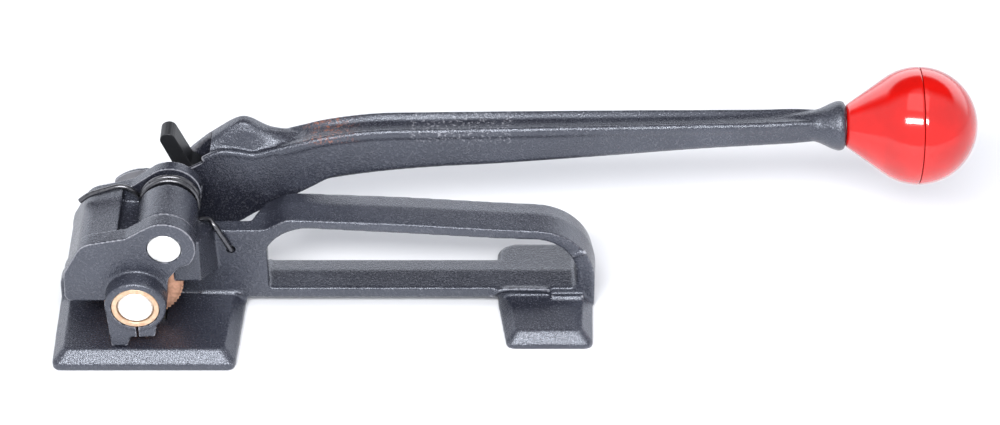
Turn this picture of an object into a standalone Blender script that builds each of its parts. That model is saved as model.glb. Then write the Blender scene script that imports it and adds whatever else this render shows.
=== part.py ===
"""Lever strapping tensioner, a hand tool that pulls flat strap tight round a package.

The base casting stands on the package and carries a loop handle between its two feet. A housing
casting swings on the base's hinge pin and holds the feed shaft. The lever's fork turns the shaft
through a drive pawl and a ratchet, and a holding pawl on the housing keeps what has been won.
The origin lies on the rear foot's sole, below the feed shaft and in the feed wheel's mid plane.
+X runs along the strap towards the knob, +Y across it towards the lever, and +Z is up.
"""

import math

import bmesh
import bpy
from mathutils import Matrix, Vector

MM = 0.001  # sizes are written in millimetres and built in metres
GAP = 0.3  # clearance between neighbouring pieces

# Axes, all parallel to Y
SHAFT_X, SHAFT_Z = 0.0, 29.2
HINGE_X, HINGE_Z = 12.9, 54.2
DRIVE_X, DRIVE_Z = 20.5, 51.5
HOLD_X, HOLD_Z = -23.8, 16.7
HOUSING_TILT = 9.0  # degrees that the housing swings to lift the wheel off the strap

# Planes across the tool, from the viewer's side to the lever's side
FOOT_NEAR = -32.7
BOSS_FACE = -26.7
NEAR_CHEEK = (-18.2, -10.7)
BARREL = (-10.3, 9.7)
WALL = (9.2, 16.2)
LOOP_FAR = 29.7
FAR_CHEEK = (19.3, 24.8)
LEVER = (30.3, 45.3)
FORK_SLOT = (32.3, 42.7)
PAWL_SPAN = (32.8, 42.2)
LEVER_Y = 37.8

# Base
FOOT_TOP = 8.0
FOOT_EDGE = 3.2
FOOT_BEVEL = 4.8
FRONT_TOP = 6.6
FRONT_EDGE = 2.1
FRONT_BEVEL = 4.5
PAD_TOP = 10.4
WALL_LOW = 20.0
WALL_TOP = 42.0
BARREL_R = 12.5
NECK_R = 10.2
NECK_END = 18.9
SPRING_ROOM_R = 14.5
SPRING_HOLE = (37.8, 32.0)
GRIPPER_SCREW_X = 6.0
GRIPPER_SCREW_R = 1.5
GRIPPER_HEAD_R = 2.8

# Feed shaft and what it carries
SHAFT_R = 7.5
SHAFT_SPAN = (-26.2, 50.0)
WHEEL_R = 18.8
WHEEL_HALF = 8.7
WHEEL_TEETH = 60
WHEEL_TOOTH = 0.5
SPACER_R = 9.3
BOSS_R = 12.9
BUSH_R = 10.0
HUB_R = 19.3
KEY_SIZE = 3.6
KEY_FOOT = 5.1
KEY_RISE = 9.4
WHEEL_KEY = (-7.0, 7.0)
RATCHET_KEY = (33.4, 41.6)
RING_GROOVE = (47.6, 49.0)

# Ratchet: the steep side of each tooth faces anticlockwise, seen from the viewer's side
RATCHET_R = 16.3
RATCHET_ROOT = 13.8
RATCHET_TEETH = 24
DRIVE_TOOTH = -12.0  # degrees of the tooth that the drive pawl pushes
HOLD_TOOTH = 153.0  # degrees of the tooth that the holding pawl stops
PAWL_PIN_R = 2.5
PAWL_BOSS_R = 4.9
PAWL_SPRING_Z = 42.0
PAWL_SPRING_WIRE_R = 0.45

# Hinge and springs
PIN_R = 7.0
COIL_R = 11.75
COIL_WIRE_R = 1.15
COIL_PITCH = 2.65
COIL_FIRST_Y = 11.2

# Lever arm: x, centre height, width across, height
ARM_STATIONS = (
    (62.0, 57.6, 15.0, 25.0),
    (80.0, 63.2, 15.0, 24.6),
    (110.0, 67.3, 15.0, 22.7),
    (152.0, 69.8, 14.6, 19.3),
    (194.0, 71.9, 14.0, 16.5),
    (236.0, 74.3, 13.2, 14.0),
    (279.0, 76.0, 12.4, 12.5),
    (289.0, 76.2, 14.0, 14.0),
)
ARM_CORNER = 3.6
COLLAR_X = (288.0, 297.8)
COLLAR_R = 10.3
STUD_R = 5.0
STUD_X = (284.6, 343.0)

# Knob
KNOB_Z = 76.2
KNOB_R = 25.0
KNOB_X = 329.0
KNOB_NECK_X = 298.1
KNOB_CONE = 35.4  # degrees between the neck's cone and the knob's axis

# Colours, roughness and metallic of each finish
FINISHES = {
    "casting_paint": ((0.030, 0.031, 0.036), 0.45, 0.2),
    "pawl_steel": ((0.040, 0.040, 0.042), 0.4, 0.8),
    "bright_steel": ((0.62, 0.62, 0.60), 0.25, 1.0),
    "spring_steel": ((0.22, 0.22, 0.23), 0.3, 1.0),
    "tool_steel": ((0.25, 0.24, 0.23), 0.35, 1.0),
    "bronze": ((0.55, 0.36, 0.20), 0.35, 1.0),
    "copper_plate": ((0.60, 0.34, 0.22), 0.4, 1.0),
    "red_plastic": ((0.80, 0.025, 0.015), 0.2, 0.0),
}


# ---------------------------------------------------------------- scene and helpers


def clear_scene():
    """Remove every object and orphaned mesh, so that the model starts from nothing."""
    for item in list(bpy.data.objects):
        bpy.data.objects.remove(item, do_unlink=True)


def collection(name):
    """A new collection in the scene."""
    made = bpy.data.collections.new(name)
    bpy.context.scene.collection.children.link(made)
    return made


def material(name):
    """The Principled material of one finish, made on first use."""
    known = bpy.data.materials.get(name)
    if known:
        return known
    colour, roughness, metallic = FINISHES[name]
    made = bpy.data.materials.new(name)
    made.use_nodes = True
    shader = made.node_tree.nodes["Principled BSDF"]
    shader.inputs["Base Color"].default_value = (*colour, 1.0)
    shader.inputs["Roughness"].default_value = roughness
    shader.inputs["Metallic"].default_value = metallic
    made.diffuse_color = (*colour, 1.0)
    return made


def mesh_object(name, bm):
    """Turn a bmesh into an object of the model, welded and with its faces pointing out."""
    bmesh.ops.remove_doubles(bm, verts=bm.verts, dist=1e-6)
    bmesh.ops.recalc_face_normals(bm, faces=bm.faces)
    mesh = bpy.data.meshes.new(name)
    bm.to_mesh(mesh)
    bm.free()
    made = bpy.data.objects.new(name, mesh)
    MODEL.objects.link(made)
    return made


def baked(source):
    """Replace a curve, or a mesh with modifiers, by its plain evaluated mesh in world space."""
    bpy.context.view_layer.update()
    name = source.name
    shape = source.evaluated_get(bpy.context.evaluated_depsgraph_get())
    mesh = bpy.data.meshes.new_from_object(shape)
    mesh.transform(source.matrix_world)
    bm = bmesh.new()
    bm.from_mesh(mesh)
    bpy.data.objects.remove(source, do_unlink=True)
    bpy.data.meshes.remove(mesh)
    return mesh_object(name, bm)


def cut(target, tool, operation="DIFFERENCE"):
    """Add a Boolean with the tool, which becomes a hidden wire object among the cutters."""
    modifier = target.modifiers.new(f"{operation.lower()}_{tool.name}", "BOOLEAN")
    modifier.operation = operation
    modifier.solver = "EXACT"
    modifier.object = tool
    tool.hide_render = True
    tool.display_type = "WIRE"
    MODEL.objects.unlink(tool)
    CUTTERS.objects.link(tool)
    return target


def join(target, *tools):
    """Unite further shapes with the target."""
    for tool in tools:
        cut(target, tool, "UNION")
    return target


def eased(target, width):
    """Chamfer the sharp edges of a shape."""
    modifier = target.modifiers.new("eased_edges", "BEVEL")
    modifier.width = width * MM
    modifier.segments = 1
    modifier.limit_method = "ANGLE"
    modifier.angle_limit = math.radians(50)
    return target


def on_shaft(radius, degrees):
    """A point in the XZ plane, given round the feed shaft."""
    turn = math.radians(degrees)
    return (SHAFT_X + radius * math.cos(turn), SHAFT_Z + radius * math.sin(turn))


def arc(centre_x, centre_z, radius, start, end, steps):
    """Points along an arc from one angle to another, in degrees."""
    points = []
    for step in range(steps + 1):
        turn = math.radians(start + (end - start) * step / steps)
        points.append((centre_x + radius * math.cos(turn), centre_z + radius * math.sin(turn)))
    return points


def rounded(corners, steps=5):
    """An outline whose corners (x, z, radius) are rounded; a corner without a radius is sharp."""
    points = []
    for index, corner in enumerate(corners):
        here = Vector(corner[:2])
        if len(corner) == 2:
            points.append(tuple(here))
            continue
        before = (Vector(corners[index - 1][:2]) - here).normalized()
        after = (Vector(corners[(index + 1) % len(corners)][:2]) - here).normalized()
        half = before.angle(after) / 2
        centre = here + (before + after).normalized() * corner[2] / math.sin(half)
        reach = corner[2] / math.tan(half)
        start = here + before * reach - centre
        turn = start.angle_signed(here + after * reach - centre)
        for step in range(steps + 1):
            spoke = start.copy()
            spoke.rotate(Matrix.Rotation(-turn * step / steps, 2))
            points.append(tuple(centre + spoke))
    return points


def inset(corners, distance):
    """The convex outline's corners moved inwards, parallel to its sides."""
    moved = []
    for index, corner in enumerate(corners):
        here = Vector(corner[:2])
        before = (Vector(corners[index - 1][:2]) - here).normalized()
        after = (Vector(corners[(index + 1) % len(corners)][:2]) - here).normalized()
        half = before.angle(after) / 2
        shifted = here + (before + after).normalized() * distance / math.sin(half)
        moved.append((shifted.x, shifted.y, corner[2]))
    return moved


def prism(name, outlines, span):
    """Extrude an outline in the XZ plane, with any holes in it, between two Y planes."""
    curve = bpy.data.curves.new(name, "CURVE")
    curve.dimensions = "2D"
    curve.fill_mode = "BOTH"
    curve.extrude = (span[1] - span[0]) / 2 * MM
    for outline in outlines:
        spline = curve.splines.new("POLY")
        spline.points.add(len(outline) - 1)
        spline.use_cyclic_u = True
        for point, (x, z) in zip(spline.points, outline):
            point.co = (x * MM, z * MM, 0.0, 1.0)
    made = bpy.data.objects.new(name, curve)
    MODEL.objects.link(made)
    made.rotation_euler = (math.pi / 2, 0.0, 0.0)
    made.location = (0.0, (span[0] + span[1]) / 2 * MM, 0.0)
    made = baked(made)
    merge_flat_faces(made)
    return made


def merge_flat_faces(target):
    """Dissolve the triangles that a fill leaves on flat faces."""
    bm = bmesh.new()
    bm.from_mesh(target.data)
    flat = math.radians(0.5)
    bmesh.ops.dissolve_limit(bm, angle_limit=flat, verts=bm.verts, edges=bm.edges)
    bm.to_mesh(target.data)
    bm.free()


def loft(name, rings):
    """A closed body through rings of equally many points."""
    bm = bmesh.new()
    layers = [[bm.verts.new(Vector(point) * MM) for point in ring] for ring in rings]
    for low, high in zip(layers, layers[1:]):
        for index in range(len(low)):
            after = (index + 1) % len(low)
            bm.faces.new((low[index], low[after], high[after], high[index]))
    bm.faces.new(list(reversed(layers[0])))
    bm.faces.new(layers[-1])
    return mesh_object(name, bm)


def hull(name, points):
    """The convex body round a few corner points."""
    bm = bmesh.new()
    for point in points:
        bm.verts.new(Vector(point) * MM)
    bmesh.ops.convex_hull(bm, input=bm.verts)
    return mesh_object(name, bm)


def rod(name, radius, start, end, segments=32):
    """A cylinder between two points."""
    start = Vector(start) * MM
    end = Vector(end) * MM
    place = Matrix.Translation((start + end) / 2)
    turn = (end - start).to_track_quat("Z", "Y").to_matrix().to_4x4()
    bm = bmesh.new()
    bmesh.ops.create_cone(
        bm,
        cap_ends=True,
        segments=segments,
        radius1=radius * MM,
        radius2=radius * MM,
        depth=(end - start).length,
        matrix=place @ turn,
    )
    return mesh_object(name, bm)


def cross_rod(name, radius, axis, span, segments=32):
    """A cylinder across the tool, on an axis given by its x and z."""
    return rod(name, radius, (axis[0], span[0], axis[1]), (axis[0], span[1], axis[1]), segments)


def tube(name, outer, inner, axis, span, segments=32):
    """A plain ring or sleeve across the tool, turned from its section."""
    section = [(outer, span[1]), (outer, span[0]), (inner, span[0]), (inner, span[1])]
    return turned(name, section, (axis[0], 0.0, axis[1]), "Y", segments)


def turned(name, section, origin, direction, segments=32, closed=True):
    """Spin a section of (radius, distance along the axis) points, given down its outer side."""
    mesh = bpy.data.meshes.new(name)
    edges = [(index, index + 1) for index in range(len(section) - 1)]
    if closed:
        edges.append((len(section) - 1, 0))
    mesh.from_pydata([(r * MM, 0.0, h * MM) for r, h in section], edges, [])
    made = bpy.data.objects.new(name, mesh)
    MODEL.objects.link(made)
    screw = made.modifiers.new("turn", "SCREW")
    screw.axis = "Z"
    screw.angle = 2 * math.pi
    screw.steps = segments
    screw.render_steps = segments
    screw.use_merge_vertices = True
    screw.merge_threshold = 1e-6
    turn = {"X": (0.0, math.pi / 2, 0.0), "Y": (-math.pi / 2, 0.0, 0.0), "Z": (0.0, 0.0, 0.0)}
    made.rotation_euler = turn[direction]
    made.location = Vector(origin) * MM
    return baked(made)


def wire(name, points, radius):
    """A round wire through points, with closed ends."""
    curve = bpy.data.curves.new(name, "CURVE")
    curve.dimensions = "3D"
    curve.bevel_depth = radius * MM
    curve.bevel_resolution = 2
    curve.use_fill_caps = True
    spline = curve.splines.new("POLY")
    spline.points.add(len(points) - 1)
    for point, place in zip(spline.points, points):
        point.co = (*(Vector(place) * MM), 1.0)
    made = bpy.data.objects.new(name, curve)
    MODEL.objects.link(made)
    return baked(made)


def coil(axis_point, radius, start, turns, pitch, per_turn=12):
    """Points of a helix round a Y axis, from a start angle in degrees, towards +Y."""
    count = round(abs(turns) * per_turn)
    points = []
    for step in range(count + 1):
        share = turns * step / count
        turn = math.radians(start + 360 * share)
        points.append(
            (
                axis_point[0] + radius * math.cos(turn),
                axis_point[1] + pitch * abs(share),
                axis_point[2] + radius * math.sin(turn),
            )
        )
    return points


def axis_empty(name, x, y, z, parent=None):
    """An empty on a joint's axis, which the moving pieces hang from."""
    made = bpy.data.objects.new(name, None)
    made.empty_display_size = 0.01
    made.location = Vector((x, y, z)) * MM
    MODEL.objects.link(made)
    bpy.context.view_layer.update()
    hang(made, parent)
    return made


def hang(item, parent):
    """Parent an object without moving it."""
    if parent is None:
        return
    bpy.context.view_layer.update()
    item.parent = parent
    item.matrix_parent_inverse = parent.matrix_world.inverted()


def piece(item, finish, parent=None, smooth=35.0):
    """Give a finished sub-part its material, its shading and its joint's empty."""
    item.data.materials.clear()
    item.data.materials.append(material(finish))
    item.data.shade_smooth()
    item.data.set_sharp_from_angle(angle=math.radians(smooth))
    hang(item, parent)
    return item


# ---------------------------------------------------------------- base


def plan_ring(corners, z):
    """A rounded outline in the XY plane, at one height."""
    return [(x, y, z) for x, y in rounded(corners)]


def bevelled_foot(name, corners, edge, bevel, top):
    """A foot with an upright edge and a slope up to its flat top."""
    inner = inset(corners, bevel)
    rings = [plan_ring(corners, 0.0), plan_ring(corners, edge), plan_ring(inner, top)]
    return loft(name, rings)


def rear_foot():
    """The broad foot that the strap runs over, with its far edge as a heel behind the wall."""
    corners = [
        (-36.4, FOOT_NEAR, 3.4),
        (40.6, FOOT_NEAR, 3.4),
        (43.4, 21.3, 3.4),
        (-37.0, 21.3, 3.4),
    ]
    return bevelled_foot("base_casting", corners, FOOT_EDGE, FOOT_BEVEL, FOOT_TOP)


def front_foot():
    """The small foot under the loop's end."""
    corners = [
        (155.0, -18.7, 3.0),
        (191.4, -18.7, 3.0),
        (192.6, 42.3, 8.0),
        (150.4, 42.3, 8.0),
        (151.4, 9.2, 8.0),
    ]
    return bevelled_foot("front_foot", corners, FRONT_EDGE, FRONT_BEVEL, FRONT_TOP)


def front_pad():
    """The raised far part of the front foot, level with the lower rail."""
    corners = [(151.4, 9.6, 2.0), (192.0, 9.6, 2.0), (192.4, 42.0, 8.0), (150.8, 42.0, 8.0)]
    rim = 2.0
    rings = [
        plan_ring(corners, 1.0),
        plan_ring(corners, PAD_TOP - rim),
        plan_ring(inset(corners, rim), PAD_TOP),
    ]
    return loft("front_pad", rings)


def wall():
    """The upright wall beside the strap channel, cut away round the spring and the shaft."""
    outline = rounded(
        [
            (-36.4, 2.0),
            (53.0, 2.0),
            (53.0, WALL_TOP),
            (13.5, WALL_TOP),
            (13.5, WALL_LOW, 4.0),
            (-36.2, WALL_LOW, 8.0),
        ]
    )
    made = prism("wall", [outline], WALL)
    room = (BARREL[1] + 0.2, 20.0)
    cut(made, cross_rod("spring_room", SPRING_ROOM_R, (HINGE_X, HINGE_Z), room, 36))
    cut(made, cross_rod("spacer_room", SPACER_R + 1.0, (SHAFT_X, SHAFT_Z), (5.0, 20.0), 36))
    return made


def loop_handle():
    """The closed hand grip between the two feet."""
    outer = rounded(
        [
            (49.0, 5.3),
            (158.0, 5.3),
            (158.0, 1.0),
            (192.6, 1.0),
            (192.6, 40.0, 26.5),
            (152.0, 42.3),
            (110.0, 45.3),
            (61.0, 47.4, 12.0),
            (53.0, 42.0, 6.0),
            (49.0, WALL_TOP),
        ],
        8,
    )
    return eased(prism("loop_handle", [outer], (WALL[0] + 0.05, LOOP_FAR)), 1.0)


def grip_opening():
    """The room for the hand inside the loop."""
    outline = rounded(
        [
            (50.8, PAD_TOP, 4.0),
            (185.0, PAD_TOP, 3.0),
            (185.0, 36.2, 19.0),
            (152.0, 37.5),
            (110.0, 40.5),
            (50.8, 44.2, 20.0),
        ],
        8,
    )
    return prism("grip_opening", [outline], (WALL[0] - 5.0, LOOP_FAR + 5.0))


def gusset():
    """The block that ties the hinge barrel to the wall, beside the feed wheel."""
    low_z, high_z = 30.3, 52.0
    near_y, far_y = -9.7, WALL[0] + 0.6
    near = [(x, near_y, z) for x in (15.0, 26.2) for z in (low_z, high_z - 1.0)]
    far = [(15.0, far_y, 12.0), (31.0, far_y, 12.0), (15.0, far_y, high_z), (31.0, far_y, 44.5)]
    return hull("gusset", near + far)


def wheel_room():
    """The space that the feed wheel needs as the housing swings about the hinge."""
    radius = WHEEL_R + 0.4
    points = []
    for tilt in (0.0, HOUSING_TILT):
        spoke = Vector((SHAFT_X - HINGE_X, SHAFT_Z - HINGE_Z))
        spoke.rotate(Matrix.Rotation(-math.radians(tilt), 2))
        for x, z in arc(HINGE_X + spoke.x, HINGE_Z + spoke.y, radius, 0.0, 350.0, 35):
            points.append((x, -WHEEL_HALF - 0.4, z))
            points.append((x, WHEEL_HALF + 0.4, z))
    return hull("wheel_room", points)


def base_casting():
    """The base: two feet, wall, hinge barrel and loop handle, cast as one."""
    hinge = (HINGE_X, HINGE_Z)
    made = join(
        rear_foot(),
        wall(),
        gusset(),
        cross_rod("barrel", BARREL_R, hinge, BARREL, 36),
        cross_rod("barrel_neck", NECK_R, hinge, (BARREL[0] + 5.0, NECK_END), 36),
        loop_handle(),
        front_foot(),
        front_pad(),
    )
    cut(made, grip_opening())
    cut(made, wheel_room())
    cut(made, cross_rod("hinge_bore", PIN_R + GAP, hinge, (-15.0, 25.0)))
    recess = [(-10.5, 4.2), (10.5, 4.2), (10.5, 12.0), (-10.5, 12.0)]
    cut(made, prism("gripper_recess", [recess], (-8.5, 8.5)))
    for side in (-1, 1):
        x = GRIPPER_SCREW_X * side
        shank_room = rod(f"screw_bore_{side}", GRIPPER_SCREW_R + GAP, (x, 0, -1), (x, 0, 5), 20)
        head_room = rod(f"head_bore_{side}", GRIPPER_HEAD_R + GAP, (x, 0, -1), (x, 0, 2.4), 24)
        cut(made, shank_room)
        cut(made, head_room)
    cut(made, cross_rod("spring_hole", COIL_WIRE_R + 0.9, SPRING_HOLE, (5.0, 20.0), 16))
    return made


def gripper_plug():
    """The hardened plate under the feed wheel, with sawteeth across the strap."""
    pitch = 1.5
    teeth = 13
    left = -teeth * pitch / 2
    outline = [(left, 4.5), (-left, 4.5)]
    for index in reversed(range(teeth)):
        outline.append((left + (index + 1) * pitch, 9.5))
        outline.append((left + index * pitch, 10.1))
    made = prism("gripper_plug", [outline], (-8.2, 8.2))
    for side in (-1, 1):
        x = GRIPPER_SCREW_X * side
        cut(made, rod(f"plug_bore_{side}", GRIPPER_SCREW_R + GAP, (x, 0, 4), (x, 0, 8), 20))
    return made


def gripper_screw(side):
    """One of the two screws that hold the gripper plug from below."""
    name = "gripper_screw_left" if side < 0 else "gripper_screw_right"
    x = GRIPPER_SCREW_X * side
    tip, shoulder, head = 7.6, 2.1, 0.4
    section = [
        (0.0, tip),
        (GRIPPER_SCREW_R, tip),
        (GRIPPER_SCREW_R, shoulder),
        (GRIPPER_HEAD_R, shoulder),
        (GRIPPER_HEAD_R, head),
        (0.0, head),
    ]
    screw = turned(name, section, (x, 0.0, 0.0), "Z", 20, closed=False)
    return cut(screw, rod(f"{name}_socket", 1.2, (x, 0, 0), (x, 0, 1.4), 6))


# ---------------------------------------------------------------- housing


def cheek_outline(drop):
    """A cheek's outline: the cover's curve, the hinge lug and the shaft's end of the cheek."""
    crown = [
        (-30.4, 26.3, 3.0),
        (-29.9, 41.0 - drop, 8.0),
        (-21.5, 56.0 - drop, 9.0),
        (-3.0, 59.5 - drop / 2, 3.0),
    ]
    lug = arc(HINGE_X, HINGE_Z, 13.0, 117.0, -40.0, 16)
    throat = [(18.5, 44.0, 3.0), (13.6, 38.0, 5.0), (12.7, 29.0), (11.5, 26.3)]
    outline = rounded(crown + lug + throat, 4)
    return list(reversed(outline))


def cover_outline():
    """The section of the curved cover between the cheeks."""
    outer = [(-30.0, 26.9, 3.0), (-29.5, 39.0, 8.0), (-22.4, 52.6, 9.0), (-7.0, 57.0)]
    inner = [(-7.0, 52.5), (-17.5, 50.0, 6.0), (-24.2, 39.0, 6.0), (-24.4, 26.9)]
    return list(reversed(rounded(outer + inner, 4)))


def edge_guide():
    """The blade below the shaft boss that keeps the strap on the foot."""
    outline = [(-12.8, 31.0), (-10.5, 8.5), (-3.0, 8.5), (-1.2, 13.5), (0.2, 15.0), (0.2, 29.0)]
    return prism("edge_guide", [outline], (BOSS_FACE + 0.3, BOSS_FACE + 2.8))


def guide_block():
    """The short block beside the blade, across a narrow slit."""
    outline = [(1.8, 30.0), (1.8, 14.4), (8.8, 13.6), (10.5, 28.0)]
    return prism("guide_block", [outline], (BOSS_FACE + 0.3, NEAR_CHEEK[0] + 1.0))


def wheel_guard():
    """The web under the slot in the cover that keeps dirt off the feed wheel."""
    outline = [(-9.0, 49.6), (0.0, 49.2), (0.0, 50.8), (-6.0, 53.2), (-9.0, 54.0)]
    return prism("wheel_guard", [outline], (NEAR_CHEEK[1] - 3.0, FAR_CHEEK[0] + 1.0))


def housing_casting():
    """The swinging housing: two cheeks, the cover between them, boss, guides and pawl ears."""
    shaft = (SHAFT_X, SHAFT_Z)
    hold = (HOLD_X, HOLD_Z)
    boss_section = [
        (0.0, NEAR_CHEEK[1] - 2.0),
        (BOSS_R, NEAR_CHEEK[1] - 2.0),
        (BOSS_R, BOSS_FACE + 1.3),
        (BOSS_R - 0.4, BOSS_FACE + 0.4),
        (BOSS_R - 1.3, BOSS_FACE),
        (0.0, BOSS_FACE),
    ]
    pawl_ear = rounded([(-29.8, 30.0), (-30.0, 10.6, 6.0), (-17.6, 10.6, 6.0), (-12.0, 30.0)])
    stop_ear = rounded(
        [(0.0, 24.0), (9.0, 11.0, 4.0), (25.0, 10.0, 3.0), (25.0, 20.6), (12.0, 31.0)]
    )
    stop = [(15.4, 11.5), (24.6, 11.5), (24.6, 20.4), (15.4, 15.2)]
    made = join(
        eased(prism("housing_casting", [cheek_outline(0.0)], NEAR_CHEEK), 1.0),
        prism("cover", [cover_outline()], (NEAR_CHEEK[1] - 3.0, FAR_CHEEK[0] + 1.0)),
        wheel_guard(),
        eased(prism("far_cheek", [cheek_outline(2.4)], FAR_CHEEK), 1.0),
        turned("near_boss", boss_section, (SHAFT_X, 0.0, SHAFT_Z), "Y", 36, closed=False),
        cross_rod("far_boss", BOSS_R, shaft, (17.0, FAR_CHEEK[1] - 2.0), 36),
        edge_guide(),
        guide_block(),
        prism("pawl_ear", [pawl_ear], (FAR_CHEEK[0] + 0.1, FAR_CHEEK[1] - 0.1)),
        cross_rod("pawl_boss", PAWL_BOSS_R, hold, (20.0, PAWL_SPAN[0] - GAP), 28),
        prism("stop_ear", [stop_ear], (FAR_CHEEK[0] + 0.1, FAR_CHEEK[1] - 0.1)),
        prism("lever_stop", [stop], (21.0, 36.0)),
    )
    cut(made, cross_rod("pin_bore", PIN_R + GAP, (HINGE_X, HINGE_Z), (-25.0, 30.0)))
    cut(made, cross_rod("bush_bores", BUSH_R + GAP, shaft, (-30.0, 30.0), 38))
    cut(made, cross_rod("hold_pin_bore", PAWL_PIN_R + GAP, hold, (15.0, 35.0), 24))
    screw_y = sum(FAR_CHEEK) / 2
    screw_end = (HINGE_X + 20.0, screw_y, HINGE_Z)
    cut(made, rod("grub_bore", 1.8, (HINGE_X, screw_y, HINGE_Z), screw_end, 16))
    return made


def hinge_pin():
    """The pin that the housing swings on, with chamfered ends."""
    near, far = NEAR_CHEEK[0] - 0.2, FAR_CHEEK[1] + 0.4
    chamfer = 0.6
    section = [
        (0.0, far),
        (PIN_R - chamfer, far),
        (PIN_R, far - chamfer),
        (PIN_R, near + chamfer),
        (PIN_R - chamfer, near),
        (0.0, near),
    ]
    return turned("hinge_pin", section, (HINGE_X, 0.0, HINGE_Z), "Y", closed=False)


def hinge_set_screw():
    """The grub screw in the far lug that keeps the hinge pin from creeping out."""
    y = sum(FAR_CHEEK) / 2
    foot, top = HINGE_X + PIN_R + GAP, HINGE_X + 12.0
    screw = rod("hinge_set_screw", 1.5, (foot, y, HINGE_Z), (top, y, HINGE_Z), 16)
    socket = rod("grub_socket", 0.8, (top - 1.6, y, HINGE_Z), (top + 1.0, y, HINGE_Z), 6)
    return cut(screw, socket)


def housing_spring():
    """The torsion spring round the hinge: one leg lies on the cover, one hooks into the wall."""
    start, end = -60.0, -160.0
    turns = (end - start) / 360 - 2
    helix = coil((HINGE_X, COIL_FIRST_Y, HINGE_Z), COIL_R, start, turns, COIL_PITCH)
    wall_leg = [
        (SPRING_HOLE[0] + 0.2, 14.5, SPRING_HOLE[1]),
        (SPRING_HOLE[0], 9.6, SPRING_HOLE[1]),
        (SPRING_HOLE[0] - 0.3, 8.0, SPRING_HOLE[1] + 1.4),
        (34.6, 7.6, 40.0),
        (32.6, 7.6, 44.3),
        (31.3, 8.3, 46.2),
        (29.8, 10.2, 47.1),
        (27.2, 11.2, 47.0),
        (24.0, 11.3, 46.3),
    ]
    cover_leg = [
        (0.4, 17.3, 53.4),
        (-2.5, 17.3, 56.8),
        (-4.8, 17.3, 58.7),
        (-7.0, 17.3, 59.4),
        (-10.0, 17.3, 59.2),
        (-17.0, 17.2, 56.9),
        (-21.8, 17.2, 54.9),
        (-25.4, 17.2, 51.9),
    ]
    return wire("housing_spring", wall_leg + helix + cover_leg, COIL_WIRE_R)


def shaft_sleeve(name, radius, span):
    """A ring or sleeve that the feed shaft passes through."""
    return tube(name, radius, SHAFT_R + GAP, (SHAFT_X, SHAFT_Z), span)


def near_bush():
    """The bush in the near boss."""
    return shaft_sleeve("near_bush", BUSH_R, (BOSS_FACE + 0.2, NEAR_CHEEK[1]))


def far_bush():
    """The bush in the far cheek."""
    return shaft_sleeve("far_bush", BUSH_R, (17.2, FAR_CHEEK[1]))


def thrust_washer():
    """The washer between the far cheek and the lever's fork."""
    return shaft_sleeve("thrust_washer", 12.0, (FAR_CHEEK[1] + GAP, 27.9))


# ---------------------------------------------------------------- feed shaft


def key_section(room):
    """A key's section above the shaft's axis, with room left round it."""
    half = KEY_SIZE / 2 + room
    foot, top = SHAFT_Z + KEY_FOOT - room, SHAFT_Z + KEY_RISE + room
    return [(-half, foot), (half, foot), (half, top), (-half, top)]


def keyway(name, span):
    """A bar along the shaft that cuts a key's seat."""
    return prism(name, [key_section(GAP)], span)


def key(name, span):
    """A parallel key between the shaft and what turns with it."""
    return prism(name, [key_section(0.0)], span)


def feed_shaft():
    """The shaft, with its key seats and the groove of its retaining ring."""
    near, far = SHAFT_SPAN
    section = [
        (0.0, far),
        (SHAFT_R - 0.6, far),
        (SHAFT_R, far - 0.6),
        (SHAFT_R, RING_GROOVE[1]),
        (SHAFT_R - 1.0, RING_GROOVE[1]),
        (SHAFT_R - 1.0, RING_GROOVE[0]),
        (SHAFT_R, RING_GROOVE[0]),
        (SHAFT_R, near + 0.6),
        (SHAFT_R - 0.6, near),
        (0.0, near),
    ]
    made = turned("feed_shaft", section, (SHAFT_X, 0.0, SHAFT_Z), "Y", closed=False)
    cut(made, keyway("wheel_key_seat", (WHEEL_KEY[0] - GAP, WHEEL_KEY[1] + GAP)))
    cut(made, keyway("ratchet_key_seat", (RATCHET_KEY[0] - GAP, RATCHET_KEY[1] + GAP)))
    return made


def feed_wheel():
    """The toothed wheel that drags the strap."""
    outline = []
    for tooth in range(WHEEL_TEETH):
        centre = 360.0 * tooth / WHEEL_TEETH
        outline.append(on_shaft(WHEEL_R, centre))
        outline.append(on_shaft(WHEEL_R - WHEEL_TOOTH, centre + 180.0 / WHEEL_TEETH))
    bore = arc(SHAFT_X, SHAFT_Z, SHAFT_R + GAP, 0.0, 350.0, 35)
    made = prism("feed_wheel", [outline, bore], (-WHEEL_HALF, WHEEL_HALF))
    return cut(made, keyway("wheel_slot", (-WHEEL_HALF - 1.0, WHEEL_HALF + 1.0)))


def ratchet_wheel():
    """The ratchet in the lever's fork."""
    outline = []
    for tooth in range(RATCHET_TEETH):
        steep = DRIVE_TOOTH + 360.0 * tooth / RATCHET_TEETH
        outline.append(on_shaft(RATCHET_R, steep - 1.2))
        outline.append(on_shaft(RATCHET_R, steep))
        outline.append(on_shaft(RATCHET_ROOT, steep + 0.4))
    bore = arc(SHAFT_X, SHAFT_Z, SHAFT_R + GAP, 0.0, 350.0, 35)
    made = prism("ratchet_wheel", [outline, bore], PAWL_SPAN)
    return cut(made, keyway("ratchet_slot", (PAWL_SPAN[0] - 1.0, PAWL_SPAN[1] + 1.0)))


def shaft_spacer():
    """The sleeve that holds the wheel off the far cheek."""
    return shaft_sleeve("shaft_spacer", SPACER_R, (WHEEL_HALF + GAP, 16.9))


def shaft_washer():
    """The washer under the retaining ring."""
    return shaft_sleeve("shaft_washer", 11.5, (46.4, 47.4))


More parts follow.
